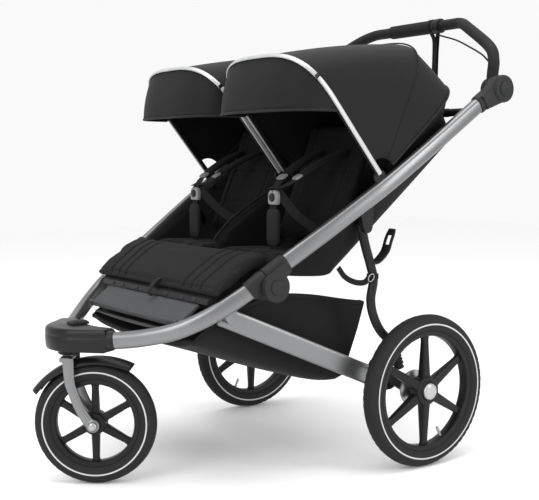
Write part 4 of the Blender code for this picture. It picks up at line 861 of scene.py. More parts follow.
def cloth(name, dark, light, threads, depth, roughness, sheen=0.12):
    """A woven fabric: thread relief, a slow drift of tone, a little sheen at grazing angles."""
    mat, shader, _ = relief_material(name, weave, {
        "Threads": threads, "Dark": (*dark, 1.0), "Light": (*light, 1.0)}, depth)
    shader.inputs["Roughness"].default_value = roughness
    shader.inputs["Sheen Weight"].default_value = sheen
    shader.inputs["Sheen Roughness"].default_value = 0.5
    shader.inputs["Specular IOR Level"].default_value = 0.14
    return mat


webbing_black = cloth("black_webbing", (0.0045, 0.0045, 0.0045), (0.0100, 0.0100, 0.0100), 3600, 0.00012,
                      0.75, 0.03)
canopy_cloth = cloth("canopy_cloth", (0.0040, 0.0040, 0.0043), (0.0085, 0.0085, 0.009), 3000, 0.00004, 0.66,
                     0.03)
seat_cloth = cloth("seat_cloth", (0.0025, 0.0025, 0.0027), (0.0058, 0.0058, 0.006), 2600, 0.00007, 0.85, 0.02)
pad_cloth = cloth("pad_cloth", (0.0042, 0.0043, 0.0046), (0.0080, 0.0081, 0.0087), 2200, 0.00009, 0.80, 0.02)
mesh_cloth = cloth("basket_cloth", (0.0040, 0.0040, 0.0043), (0.0095, 0.0095, 0.010), 1900, 0.00010, 0.80,
                   0.03)


def band(bm, points, width, thickness, across):
    """Flat webbing along points, its width laid across the run."""
    section = rounded(width, thickness, 5.0, 16)
    rings = []
    for i, p in enumerate(points):
        tangent = (points[min(i + 1, len(points) - 1)] - points[max(i - 1, 0)]).normalized()
        wide = (Vector(across) - tangent * tangent.dot(Vector(across))).normalized()
        thin = wide.cross(tangent)
        rings.append([bm.verts.new(p + wide * u + thin * v) for u, v in section])
    bridge(bm, rings, closed=True)
    bm.faces.new(list(reversed(rings[0])))
    bm.faces.new(rings[-1])


bm = bmesh.new()
loop = smooth_run([at(*p) for p in ((0.322, -0.228, 0.505), (0.325, -0.210, 0.482), (0.330, -0.184, 0.468),
                                    (0.337, -0.160, 0.466), (0.3395, -0.1475, 0.476))], 8)
band(bm, loop, 0.014, 0.0016, (0, 0.6, 1))
around = [at(LINK_X + 0.0138 * math.cos(t), -0.1335 + 0.0138 * math.sin(t), 0.480) for t in np.linspace(0,
        2 * math.pi, 33)]
band(bm, around, 0.012, 0.0014, (0, 0, 1))
new_piece("fold_strap", bm, "rear_links", webbing_black)
bm = bmesh.new()
ring_run = [at(0.3505 + 0.0035 * math.sin(t), -0.1490 + 0.0085 * math.cos(t), 0.478 + 0.0095 * math.sin(t))
            for t in np.linspace(0, 2 * math.pi, 33)]
sweep(bm, ring_run, tube_section(0.0014, 12), up=None)
new_piece("fold_strap_ring", bm, "rear_links", steel)

# ---- Handle hinges: a moulded sleeve on each rail's top end with a round push hub outside,
# where the handlebar's arms turn.
HANDLE_YZ = (HANDLE.y - AXLE_Y, HANDLE.z)
for name, side in SIDES:
    end = RUN - 0.052
    bm = bmesh.new()
    run = flip([along(end + d, HANDLE_X) for d in (0.0, 0.0012, 0.006, 0.030, 0.045, 0.0512, 0.0532)], side)
    sweep(bm, run, rounded(TUBE_W + 0.0070, TUBE_H + 0.0070, 2.6, 40), widths=[0.90, 0.96, 1, 1, 1, 1, 0.95])
    web = [along(end + 0.012, 0, TUBE_RISE + 0.0185), along(end + 0.040, 0, TUBE_RISE + 0.024),
           along(RUN + 0.022, 0, TUBE_RISE + 0.036), along(RUN + 0.036, 0, TUBE_RISE + 0.033),
           along(RUN + 0.036, 0, TUBE_RISE - 0.033), along(RUN + 0.018, 0, TUBE_RISE - 0.033),
           along(end + 0.012, 0, TUBE_RISE - 0.0185)]
    side_plate(bm, [(p.y - AXLE_Y, p.z) for p in web], HANDLE_X - 0.0014, HANDLE_X + 0.0215, side, 0.004, 3)
    hub = [(0.0, 0.0298), (0.017, 0.0298), (0.0185, 0.0290), (0.0190, 0.0262), (0.0205, 0.0258),
           (0.0310, 0.0262), (0.0340, 0.0240), (0.0350, 0.0200), (0.0350, 0.0010), (0.0335, -0.0014),
           (0.0, -0.0014)]
    lathe(bm, hub, at(HANDLE_X * side, *HANDLE_YZ), Vector((side, 0, 0)), 64)
    new_piece("handle_knuckle_" + name, bm, "main_frame", moulded,
              ["handle_hinge_" + name])

# ---- Handlebar: one bent tube in a closed-cell foam sleeve, with the brake's twist grip in the
# middle, its collar and cable, and a wrist strap hanging from the bar.
foam_black = surface("handle_foam", (0.009, 0.009, 0.0095), (0.016, 0.016, 0.0165), (0.60, 0.75), 1600, 20,
                     0.00012)
hy, hz = HANDLE_YZ
BAR = [(0.370, hy, hz), (0.370, hy + 0.003, hz + 0.040), (0.371, hy + 0.005, hz + 0.075),
       (0.345, hy + 0.017, 1.052), (0.235, 0.292, 1.112), (0.180, 0.317, 1.134), (0.130, 0.325, 1.137)]
half = smooth_run([at(*p) for p in BAR], 7)
full = half + [Vector((-p.x, p.y, p.z)) for p in reversed(half)]
bm = bmesh.new()
sweep(bm, full, tube_section(0.0149, 32), up=None)
for side in (1, -1):
    knuckle = [(0.0, -0.0165), (0.0250, -0.0165), (0.0285, -0.0135), (0.0288, 0.0100), (0.0260, 0.0135),
               (0.0, 0.0135)]
    lathe(bm, knuckle, at(0.372 * side, *HANDLE_YZ), Vector((side, 0, 0)), 48)
    for s in (0.090, 0.094):
        spot_at = min(full, key=lambda p: abs(p.z - (hz + s)) + (0 if p.x * side > 0 else 9))
        lathe(bm, [(0.0150, -0.0008), (0.0156, 0.0), (0.0150, 0.0008)], spot_at, Vector((0, 0.05, 1)), 32)
new_piece("handlebar_foam", bm, "handlebar", foam_black, ["handlebar"])

bar_y, bar_z = 0.325, 1.137
grip_low, grip_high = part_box("twist_grip")
bm = bmesh.new()
profile = [(0.0155, 0.0), (0.0180, 0.0004), (0.0189, 0.0020)]
long = grip_high.x - grip_low.x
for k in range(40):
    s = 0.006 + (long - 0.012) * k / 39
    profile += [(0.0189, s - 0.0012), (0.0183, s - 0.0006), (0.0183, s + 0.0006), (0.0189, s + 0.0012)]
profile += [(0.0189, long - 0.0020), (0.0180, long - 0.0004), (0.0155, long)]
lathe(bm, profile + [profile[0]], Vector((grip_low.x, AXLE_Y + bar_y, bar_z)), steps=48)
new_piece("brake_grip", bm, "twist_grip", foam_black, ["twist_grip"])
collar_low, collar_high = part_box("grip_collar")
bm = bmesh.new()
wide = collar_high.x - collar_low.x
collar = [(0.0156, 0.0), (0.0195, 0.0), (0.0204, 0.0012), (0.0204, wide * 0.45), (0.0196, wide * 0.5),
          (0.0204, wide * 0.55), (0.0204, wide - 0.0012), (0.0195, wide), (0.0156, wide), (0.0156, 0.0)]
lathe(bm, collar, Vector((collar_low.x, AXLE_Y + bar_y, bar_z)), steps=48)
new_piece("grip_clamp", bm, "handlebar", gloss_black, ["grip_collar"])
cable_skin = surface("cable_sheath", (0.008, 0.008, 0.008), (0.014, 0.014, 0.014), (0.40, 0.55), 1500, 30,
                     0.00003)
bm = bmesh.new()
CABLE = [(0.086, 0.322, bar_z - 0.0245), (0.120, 0.318, bar_z - 0.034), (0.180, 0.302, bar_z - 0.050),
         (0.250, 0.277, bar_z - 0.075), (0.320, 0.250, bar_z - 0.102), (0.3505, 0.2425, bar_z - 0.122)]
sweep(bm, smooth_run([at(*p) for p in CABLE], 12), tube_section(0.0024, 14), up=None)
new_piece("brake_cable_sheath", bm, "handlebar", cable_skin, ["brake_cable"])
bm = bmesh.new()
WRIST = [(0.062, 0.3475, 1.142), (0.061, 0.3470, 1.120), (0.060, 0.3440, 1.060), (0.060, 0.3425, 1.000),
         (0.060, 0.3405, 0.965), (0.060, 0.3360, 0.955), (0.060, 0.3320, 0.965), (0.060, 0.3330, 1.000),
         (0.060, 0.3350, 1.060), (0.061, 0.3330, 1.100), (0.062, 0.3225, 1.1165)]
strap = smooth_run([at(*p) for p in WRIST], 8)
band(bm, strap, 0.016, 0.0018, (1, 0, 0))
hoop = [at(0.062, bar_y + 0.0200 * math.cos(t), bar_z + 0.0200 * math.sin(t)) for t in np.linspace(0,
        2 * math.pi, 41)]
band(bm, hoop, 0.014, 0.0018, (1, 0, 0))
new_piece("wrist_strap", bm, "handlebar", webbing_black)

# ---- Seat sling: one black fabric trough slung from rail to rail, a padded divider down the
# middle with a bound edge, and the cross tube that holds its rear edge.
FLOOR_RUN = [(-0.378, 0.4945, 0.068), (-0.310, 0.4880, 0.125), (-0.238, 0.4865, 0.190),
             (-0.205, 0.5080, 0.225), (-0.100, 0.5930, 0.345), (0.000, 0.6740, 0.455),
             (0.100, 0.7560, 0.565), (0.203, 0.8420, 0.672)]
stations = smooth_run([Vector(p) for p in FLOOR_RUN], 7)
bm = bmesh.new()
rows = []
for y, z, run_at in stations:
    top = along(run_at, 0, 0.020)
    row = []
    for s in np.linspace(-1, 1, 41):
        u = abs(s)
        if u > 0.66:
            k = (u - 0.66) / 0.34
            rail_x = float(np.interp(run_at, (0.03, 0.19, 0.30, 0.38, 0.50),
                                     (0.3292, 0.3561, 0.3721, 0.3823, 0.3880)))
            x = 0.3045 + (rail_x - 0.0150 - 0.3045) * k ** 1.5 + 0.0030 * math.sin(math.pi * k) - 0.002 * (1
                    - k)
            py, pz = y + (top.y - AXLE_Y - y) * k, z + (top.z - z) * k
            if k < 0.25:
                x -= 0.010 * (1 - k / 0.25) ** 2
        else:
            k = u / 0.66
            x = 0.2925 * k
            dip = 0.0040 * (1 - k ** 4)
            py, pz = y + dip * 0.5, z - dip * 0.8
        row.append(bm.verts.new(at(math.copysign(x, s), py, pz)))
    rows.append(row)
bridge(bm, rows)
sling = new_piece("seat_sling", bm, "main_frame", seat_cloth, ["seat_pod"], 0)
thicken(sling, 0.0026)


FILL_FRAMES = 20


def evaluated(obj):
    """The mesh that the object's modifiers give."""
    return bpy.data.meshes.new_from_object(obj.evaluated_get(bpy.context.evaluated_depsgraph_get()))


def swell(outline, half_w, voxel, force, most, center_x=0.0, shrink=0.003):
    """A filled cover: a side outline pulled across, its skin remeshed fine and pushed out from inside."""
    bm = bmesh.new()
    mid_y = sum(p[0] for p in outline) / len(outline)
    mid_z = sum(p[1] for p in outline) / len(outline)
    drawn = []
    for y, z in outline:
        away = Vector((y - mid_y, z - mid_z))
        away = away * max(0.0, 1 - shrink / max(away.length, 1e-6))
        drawn.append((mid_y + away.x, mid_z + away.y))
    prism(bm, drawn, center_x - half_w + shrink, center_x + half_w - shrink, 0.006, 3)
    start = bm_mesh(bm, "swell_start")
    obj = bpy.data.objects.new("swell_start", start)
    scene.collection.objects.link(obj)
    remesh = obj.modifiers.new("remesh", "REMESH")
    remesh.mode, remesh.voxel_size = "VOXEL", voxel
    bpy.context.view_layer.update()
    base = evaluated(obj)
    obj.modifiers.clear()
    obj.data = base
    filling = obj.modifiers.new("filling", "CLOTH")
    filling.settings.use_pressure = True
    filling.settings.uniform_pressure_force = force
    filling.settings.effector_weights.gravity = 0
    filling.settings.quality = 4
    filling.point_cache.frame_start, filling.point_cache.frame_end = 1, FILL_FRAMES
    for step in range(1, FILL_FRAMES + 1):
        scene.frame_set(step)
    grown = evaluated(obj)
    before = np.array([v.co for v in base.vertices])
    after = np.array([v.co for v in grown.vertices])
    moved = after - before
    far = np.linalg.norm(moved, axis=1, keepdims=True)
    after = before + moved * np.minimum(1.0, most / np.maximum(far, 1e-9))
    obj.modifiers.clear()
    base.vertices.foreach_set("co", after.astype(np.float32).ravel())
    base.update()
    scene.frame_set(1)
    relax = obj.modifiers.new("relax", "SMOOTH")
    relax.factor, relax.iterations = 0.5, 3
    finer = obj.modifiers.new("finer", "SUBSURF")
    finer.levels = finer.render_levels = 1
    bpy.context.view_layer.update()
    done = evaluated(obj)
    bpy.data.objects.remove(obj)
    return done


def press(mesh, depth_at):
    """Sewn lines: each point goes in along its normal by the depth that the pattern gives there."""
    co = np.array([v.co for v in mesh.vertices])
    normals = np.array([v.normal for v in mesh.vertices])
    depth = depth_at(co, normals)
    mesh.vertices.foreach_set("co", (co - normals * depth[:, None]).astype(np.float32).ravel())
    mesh.update()
    return mesh


def mirrored(mesh, name):
    """The same pad for the other side."""
    copy = mesh.copy()
    copy.name = name
    copy.transform(Matrix.Scale(-1, 4, Vector((1, 0, 0))))
    copy.flip_normals()
    return copy


def groove(distance, width, depth):
    return depth * np.exp(-(distance / width) ** 2)


DIVIDER = [(-0.372, 0.497), (-0.300, 0.493), (-0.235, 0.489), (-0.120, 0.582), (-0.002, 0.676),
           (-0.012, 0.715), (-0.040, 0.742), (-0.085, 0.731), (-0.136, 0.710), (-0.180, 0.690),
           (-0.220, 0.668), (-0.262, 0.646), (-0.309, 0.617), (-0.350, 0.583), (-0.374, 0.556),
           (-0.378, 0.530)]
divider_mesh = swell(DIVIDER, 0.0105, 0.005, 3.0, 0.005)
divider_mesh = press(divider_mesh, lambda p, n: groove(np.abs((p[:, 1] - AXLE_Y) * 0.64 - p[:, 2] + 0.800),
                                                       0.004, 0.002)
                     * (np.abs(n[:, 0]) > 0.6))
divider = new_piece("seat_divider", divider_mesh, "main_frame", seat_cloth, (), 0)
bm = bmesh.new()
edge = smooth_run([at(0, y, z) for y, z in DIVIDER[5:15]], 5)
sweep(bm, edge, tube_section(0.0036, 14), up=Vector((1, 0, 0)))
new_piece("divider_binding", bm, "main_frame", pad_cloth)
bm = bmesh.new()
cross_at = along(0.700, 0)
lathe(bm, [(0.0, -0.3755), (0.0098, -0.3755), (0.0098, 0.3755), (0.0, 0.3755)], cross_at, steps=32)
for x in (-0.30, 0.30):
    lathe(bm, [(0.0098, -0.014), (0.0112, -0.012), (0.0112, 0.012), (0.0098, 0.014)],
          cross_at + Vector((x, 0, 0)), steps=32)
new_piece("rear_cross_tube", bm, "main_frame", black_coat, ["seat_crossbar"])

# ---- Seats: in each place a filled seat pad and a reclining back pad in black cloth, both with
# sewn channels, and the padded crotch strap standing up from the seat.
SEAT_X, SEAT_HALF = 0.163, 0.131
SEAT_OUT = [(-0.397, 0.506), (-0.320, 0.500), (-0.240, 0.496), (-0.216, 0.512), (-0.226, 0.530),
            (-0.240, 0.5355), (-0.320, 0.5395), (-0.390, 0.5385), (-0.399, 0.524)]
seat_mesh = swell(SEAT_OUT, SEAT_HALF, 0.005, 4.0, 0.007, center_x=SEAT_X, shrink=0.004)


def seat_lines(p, n):
    up = np.clip(n[:, 2], 0, 1)
    total = np.zeros(len(p))
    for x in (SEAT_X - 0.055, SEAT_X + 0.055):
        total += groove(np.abs(p[:, 0] - x), 0.0040, 0.0035)
    return (total + groove(np.abs(p[:, 1] - AXLE_Y + 0.255), 0.004, 0.003)) * up


seat_mesh = press(seat_mesh, seat_lines)
BACK_TILT = math.radians(67)
back_dir = (math.cos(BACK_TILT), math.sin(BACK_TILT))
back_out = (-math.sin(BACK_TILT), math.cos(BACK_TILT))
BACK_T = 0.027
foot_y, foot_z = -0.189, 0.547


def on_back(s, lift):
    return (foot_y + back_dir[0] * s + back_out[0] * lift, foot_z + back_dir[1] * s + back_out[1] * lift)


BACK_OUT = [on_back(0.002, 0.002), on_back(0.110, 0.001), on_back(0.220, 0.001), on_back(0.326, 0.003),
            on_back(0.329, BACK_T * 0.5), on_back(0.324, BACK_T - 0.001), on_back(0.220, BACK_T),
            on_back(0.110, BACK_T), on_back(0.004, BACK_T - 0.002)]
back_mesh = swell(BACK_OUT, SEAT_HALF, 0.0055, 4.0, 0.007, center_x=SEAT_X, shrink=0.004)


def back_lines(p, n):
    facing = np.clip(n[:, 1] * back_out[0] + n[:, 2] * back_out[1], 0, 1)
    s = (p[:, 1] - AXLE_Y - foot_y) * back_dir[0] + (p[:, 2] - foot_z) * back_dir[1]
    total = groove(np.abs(np.abs(p[:, 0] - SEAT_X) - 0.082), 0.004, 0.0040)
    for height in (0.095, 0.190):
        total += groove(np.abs(s - height), 0.004, 0.0030)
    return total * facing


back_mesh = press(back_mesh, back_lines)
BUCKLE_X, CROTCH_Y, BUCKLE_Z = 0.183, -0.318, 0.652
crotch_pad = surface("neoprene_cover", (0.0095, 0.0097, 0.0102), (0.0160, 0.0162, 0.0170), (0.75, 0.88),
                     1500, 26, 0.00012)
for name, side in SIDES:
    mesh = seat_mesh if side > 0 else mirrored(seat_mesh, "seat_cushion_mirrored")
    bm = bmesh.new()
    bm.from_mesh(mesh)
    strap = [at(BUCKLE_X * side, CROTCH_Y, z) for z in np.linspace(0.534, 0.6515, 12)]
    band(bm, strap, 0.026, 0.0030, (1, 0, 0))
    final = bpy.data.meshes.new("seat_cushion")
    bm.to_mesh(final)
    bm.free()
    piece = new_piece("seat_cushion_" + name, final, "main_frame", seat_cloth,
                      ["seat_pad_" + name], 0)
    bm = bmesh.new()
    cover = [at(BUCKLE_X * side, CROTCH_Y, z) for z in np.linspace(0.553, 0.641, 19)]
    shape = [(0.74 + 0.26 * min(1.0, math.sin(math.pi * (i + 0.35) / 18.7) * 3.4),
              0.55 + 0.45 * min(1.0, math.sin(math.pi * (i + 0.3) / 18.6) * 2.0)) for i in range(19)]
    sweep(bm, cover, rounded(0.044, 0.018, 3.4, 28), up=Vector((0, 1, 0)), widths=shape)
    cover_piece = new_piece("crotch_cover_" + name, bm, "main_frame", crotch_pad)
    mesh = back_mesh if side > 0 else mirrored(back_mesh, "back_cushion_mirrored")
    piece = new_piece("back_cushion_" + name, mesh, "backrest_" + name, seat_cloth,
                      ["backrest_" + name], 0)

# ---- Harness: five-point webbing a seat, padded shoulder covers with pale end tabs, side
# straps, and a silver-grey buckle with its press button on the crotch strap.


def between(a, b, share, lift):
    """A point part of the way from one to the other, lifted off the line."""
    return a.lerp(b, share) + Vector((0, 0, lift))


def cut_away(mesh, tool_mesh):
    """The first form with the second taken out of it."""
    kept = bpy.data.objects.new("kept", mesh)
    tool = bpy.data.objects.new("tool", tool_mesh)
    scene.collection.objects.link(kept)
    scene.collection.objects.link(tool)
    cut = kept.modifiers.new("cut", "BOOLEAN")
    cut.operation, cut.solver, cut.object = "DIFFERENCE", "EXACT", tool
    bpy.context.view_layer.update()
    done = evaluated(kept)
    bpy.data.objects.remove(kept)
    bpy.data.objects.remove(tool)
    return done


buckle_grey = surface("buckle_grey", (0.16, 0.165, 0.17), (0.23, 0.235, 0.24), (0.32, 0.45), 1300, 26,
                      0.00004)
back_top = on_back(0.245, BACK_T)
for name, side in SIDES:
    bm = bmesh.new()
    pads = bmesh.new()
    tabs = bmesh.new()
    for lean in (-1, 1):
        yoke = at(BUCKLE_X * side + 0.006 * lean, CROTCH_Y + 0.002, BUCKLE_Z + 0.040)
        knee = at(BUCKLE_X * side + 0.031 * lean, -0.273, 0.713)
        head = at(BUCKLE_X * side + 0.050 * lean, back_top[0] - 0.010, back_top[1])
        run = smooth_run([yoke, between(yoke, knee, 0.5, -0.003), knee, between(knee, head, 0.5, 0.006),
                          head], 6)
        band(bm, run, 0.024, 0.0018, (1, 0, 0))
        cover = smooth_run([between(knee, head, 0.10, 0.004), between(knee, head, 0.5, 0.007),
                            between(knee, head, 0.96, 0.001)], 8)
        n = len(cover)
        shape = [0.62 + 0.38 * min(1.0, 2.2 * math.sin(math.pi * (i + 0.5) / n)) for i in range(n)]
        sweep(pads, cover, rounded(0.038, 0.0125, 3.0, 24), widths=shape)
        sweep(tabs, [between(knee, head, -0.03, 0.003), between(knee, head, 0.02, 0.004),
                     between(knee, head, 0.08, 0.0045)], rounded(0.028, 0.0075, 4.0, 20),
                     widths=[0.85, 1.0, 0.9])
        hip = at(SEAT_X * side + 0.108 * lean, -0.232, 0.583)
        low_run = smooth_run([yoke, yoke.lerp(hip, 0.5) + Vector((0, -0.006, -0.012)), hip], 9)
        band(bm, low_run, 0.022, 0.0018, (0, 0.3, 1))
    new_piece("harness_webbing_" + name, bm, "main_frame", webbing_black,
              ["harness_" + name])
    shoulder = new_piece("shoulder_pads_" + name, pads, "main_frame", pad_cloth)
    new_piece("shoulder_adjusters_" + name, tabs, "main_frame", buckle_grey)
    bm = bmesh.new()
    low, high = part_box("buckle_" + name)
    mid = (low + high) / 2
    tall = high.z - low.z
    outline = [(-0.0150, 0.0), (0.0150, 0.0), (0.0185, 0.006), (0.0188, tall * 0.62), (0.0150, tall * 0.86),
               (0.0085, tall - 0.001), (-0.0085, tall - 0.001), (-0.0150, tall * 0.86),
               (-0.0188, tall * 0.62), (-0.0185, 0.006)]
    rings = [[bm.verts.new((mid.x + x, y, low.z + z)) for x, z in outline] for y in (low.y + 0.0028,
            high.y - 0.001)]
    close_plate(bm, rings, 0.0026, 3)
    body_mesh = bm_mesh(bm, "harness_buckle")
    bm = bmesh.new()
    lathe(bm, [(0.0, -0.004), (0.0106, -0.004), (0.0106, 0.0042), (0.0, 0.0042)],
          Vector((mid.x, low.y + 0.0028, low.z + tall * 0.5)), Vector((0, 1, 0)), 40)
    body_mesh = cut_away(body_mesh, bm_mesh(bm, "button_well"))
    new_piece("harness_buckle_" + name, body_mesh, "main_frame", buckle_grey,
              ["buckle_" + name])
    bm = bmesh.new()
    low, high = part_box("buckle_button_" + name)
    mid = (low + high) / 2
    lathe(bm, [(0.0, 0.0), (0.0070, 0.0003), (0.0094, 0.0012), (0.0099, 0.0026), (0.0099, 0.0045),
               (0.0, 0.0045)],
          Vector((mid.x, low.y + 0.0002, mid.z)), Vector((0, 1, 0)), 40)
    new_piece("buckle_press_" + name, bm, "buckle_button_" + name, moulded,
              ["buckle_button_" + name])

# ---- Leg rest: one wide filled pad across both seats with sewn ribs near each side, over a
# moulded base and a grained grey foot tray with a lip; a loop strap hangs at the middle.
CALF = [(-0.556, 0.4475), (-0.520, 0.4690), (-0.483, 0.4915), (-0.447, 0.5145), (-0.412, 0.5165),
        (-0.403, 0.530), (-0.416, 0.549), (-0.440, 0.5415), (-0.470, 0.531), (-0.500, 0.511),
        (-0.530, 0.488), (-0.566, 0.456)]
calf_mesh = swell(CALF, 0.303, 0.0055, 4.0, 0.006, shrink=0.0035)


def calf_lines(p, n):
    facing = np.clip(n[:, 2] * 0.85 - n[:, 1] * 0.55, 0, 1)
    side_x = np.abs(p[:, 0])
    total = np.zeros(len(p))
    for x in (0.148, 0.184, 0.226):
        total += groove(np.abs(side_x - x - 0.10 * (p[:, 2] - 0.50)), 0.0036, 0.0048)
    slope = (p[:, 1] - AXLE_Y) + 0.552
    total += groove(np.abs(slope), 0.0030, 0.0030)
    return total * facing


calf_mesh = press(calf_mesh, calf_lines)
calf = new_piece("leg_rest_pad", calf_mesh, "lower_frame", pad_cloth, ["calf_pad"], 0)
bm = bmesh.new()
band(bm, smooth_run([at(0.030, -0.5450, 0.4760), at(0.030, -0.5600, 0.4690), at(0.030, -0.5720, 0.4560),
                     at(0.030, -0.5780, 0.4420), at(0.030, -0.5740, 0.4330)], 6), 0.018, 0.0020, (1, 0, 0))
new_piece("leg_rest_tab", bm, "lower_frame", webbing_black)

mat_grey = surface("foot_mat_grey", (0.045, 0.046, 0.048), (0.065, 0.066, 0.069), (0.60, 0.75), 500, 30,
                   0.00025)
bm = bmesh.new()
prism(bm, [(-0.6155, 0.3905), (-0.557, 0.4325), (-0.551, 0.4275), (-0.609, 0.3830)], -0.224, 0.224, 0.002, 2)
lip = [at(x, -0.6140, 0.3925 + 0.004 * (x / 0.224) ** 2) for x in np.linspace(-0.224, 0.224, 25)]
sweep(bm, lip, rounded(0.0090, 0.0080, 2.6, 16))
new_piece("foot_tray", bm, "lower_frame", mat_grey, ["footrest_panel"])
bm = bmesh.new()
prism(bm, [(-0.5600, 0.4350), (-0.5560, 0.4465), (-0.5200, 0.4620), (-0.5000, 0.4480), (-0.5300, 0.4260)],
      -0.262, 0.262, 0.002, 2)
for x in (-0.205, -0.150, -0.075, 0.075, 0.150, 0.205):
    prism(bm, [(-0.5615, 0.4385), (-0.5560, 0.4465), (-0.5540, 0.4475), (-0.5585, 0.4370)], x - 0.009,
          x + 0.009)
new_piece("leg_rest_base", bm, "lower_frame", moulded)
bm = bmesh.new()
gusset = [(-0.5450, 0.4400), (-0.4800, 0.4650), (-0.4020, 0.4880), (-0.4020, 0.5180), (-0.4600, 0.5080),
          (-0.5000, 0.4860), (-0.5400, 0.4580)]
for side in (1, -1):
    side_plate(bm, gusset, 0.2700, 0.2755, side, 0.0015, 2)
new_piece("leg_rest_gussets", bm, "lower_frame", seat_cloth)
SHELL = [(-0.6125, 0.3745), (-0.604, 0.364), (-0.575, 0.366), (-0.540, 0.386), (-0.520, 0.412)]
bm = bmesh.new()
run = smooth_run([Vector((0, y, z)) for y, z in SHELL], 6)
rows = []
for i, p in enumerate(run):
    lift = 0.010 * math.sin(math.pi * i / (len(run) - 1))
    rows.append([bm.verts.new(at(0.198 * x, p.y, p.z + lift * x * x)) for x in np.linspace(-1, 1, 25)])
bridge(bm, rows)
shell = new_piece("foot_tray_shell", bm, "lower_frame", moulded,
                  ["footrest_shell"])
thicken(shell, 0.0026)

# ---- Basket: a soft open bag under the seats, slung from the lower rails to the axle beam. Its
# floor sags between its edges and its rim is bound with webbing.
BASKET_HALF = 0.256
BASKET = [(-0.590, 0.334, 0.350), (-0.560, 0.324, 0.372), (-0.488, 0.300, 0.408), (-0.378, 0.263, 0.438),
          (-0.279, 0.230, 0.434), (-0.190, 0.206, 0.412), (-0.158, 0.203, 0.402)]
stations = smooth_run([Vector(p) for p in BASKET], 6)
stations = [stations[0] + Vector((-0.003, 0.013, 0.0))] + stations + [stations[-1] + Vector((0.0045, 0.06,
        0.0)),
                                                                     stations[-1] + Vector((0.006, 0.195,
                                                                             0.0))]
bm = bmesh.new()
rows = []
rim_left, rim_right = [], []
for i, (y, floor_z, rim_z) in enumerate(stations):
    floor_z = min(floor_z, rim_z - 0.002)
    row = []
    for s in np.linspace(-1, 1, 45):
        u = abs(s)
        if u > 0.62:
            k = (u - 0.62) / 0.38
            drop = (1 - k)
            x = BASKET_HALF - 0.010 * drop ** 1.6 + 0.004 * math.sin(math.pi * k) - 0.012 * max(0.0,
                    1 - k / 0.18) ** 2
            z = rim_z + (floor_z + 0.010 - rim_z) * drop
        else:
            k = u / 0.62
            x = (BASKET_HALF - 0.022) * k
            z = floor_z + 0.010 * k ** 6 - 0.006 * (1 - k * k) + 0.0012 * math.sin(31 * x) * math.sin(23 * y)
        reach_back = min(1.0, max(0.0, (i / (len(stations) - 1) - 0.60) / 0.34))
        y_here = y + 0.060 * reach_back ** 2 * (3 - 2 * reach_back) * max(0.0, z - 0.203) / 0.199
        row.append(bm.verts.new(at(math.copysign(x, s), y_here, max(z, 0.1955))))
    rows.append(row)
    rim_left.append(row[-1].co.copy())
    rim_right.append(row[0].co.copy())
bridge(bm, rows)
bag = new_piece("cargo_basket", bm, None, mesh_cloth, ["basket"], 0)
thicken(bag, 0.0020)
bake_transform(bag)
bm = bmesh.new()
for rim_run in (rim_left, rim_right):
    band(bm, rim_run, 0.0100, 0.0034, (0, 0, 1))
bind = new_piece("basket_binding", bm, None, webbing_black)
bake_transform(bind)

# ---- Canopies: over each seat one curved sheet on two bows, with a visor ahead of the front
# bow. A silver reflective piping follows that bow, a rolled hem the visor, a seam the rear bow.
PIVOT_Y, PIVOT_Z = joint["canopy_fold_left"]["pos_m"][1] - AXLE_Y, joint["canopy_fold_left"]["pos_m"][2]
HEM, REAR_BOW, FRONT_BOW = 41.0, 65.6, 129.5
REACH, LEG_BASE, BRIM_Z = 0.362, 0.045, 0.872
CANOPY_MID, CANOPY_HALF = 0.2005, 0.1855
BOW_BRIM = (BRIM_Z - PIVOT_Z) / math.sin(math.radians(FRONT_BOW))


def arch_point(angle, spot_at, side):
    """A point of one arch, given as its offset from the seat's middle and its distance from the pivot."""
    a = math.radians(angle)
    x, s = spot_at
    return at((CANOPY_MID + x) * side, PIVOT_Y + s * math.cos(a), PIVOT_Z + s * math.sin(a))


LEGS, ARCH_POINTS, ARCH_POWER = 9, 49, 0.62
PIPING_FOOT = 0.010


def arch_row(angle, side, reach=REACH, base=LEG_BASE, push=0.0):
    """One arch over a seat: up a straight leg, round the top and down the other leg."""
    wide = CANOPY_HALF + push
    legs = [base + (BOW_BRIM - base) * i / LEGS for i in range(LEGS)]
    spots = [(-wide, s) for s in legs]
    for i in range(ARCH_POINTS):
        t = math.pi * (1 - i / (ARCH_POINTS - 1))
        c, s = math.cos(t), math.sin(t)
        spots.append((wide * math.copysign(abs(c) ** ARCH_POWER, c),
                      BOW_BRIM + (reach + push - BOW_BRIM) * abs(s) ** ARCH_POWER))
    spots += [(wide, s) for s in reversed(legs)]
    return [arch_point(angle, spot_at, side) for spot_at in spots]


def cloth_reach(angle):
    """How far out the cloth is, pulled nearly straight from bow to bow and from the rear bow to the hem."""
    low, high = (REAR_BOW, FRONT_BOW) if angle > REAR_BOW else (HEM, REAR_BOW)
    chord = REACH * math.cos(math.radians((high - low) / 2)) / math.cos(math.radians(angle - (low + high)
            / 2))
    return chord + (REACH - chord) * 0.15


BRIM_OUT = 0.130


def visor_row(bow, k):
    """A row of the visor, k of the way from the front bow down to its level brim."""
    bow_top = max(p.z for p in bow)
    spots = []
    for p in bow:
        rise = (p.z - BRIM_Z) / (bow_top - BRIM_Z)
        brim_y = bow[0].y - BRIM_OUT * rise - 0.012 * (1 - rise)
        spots.append(Vector((p.x, p.y + (brim_y - p.y) * k - 0.006 * math.sin(math.pi * k) * rise,
                             p.z + (BRIM_Z - p.z) * k)))
    return spots


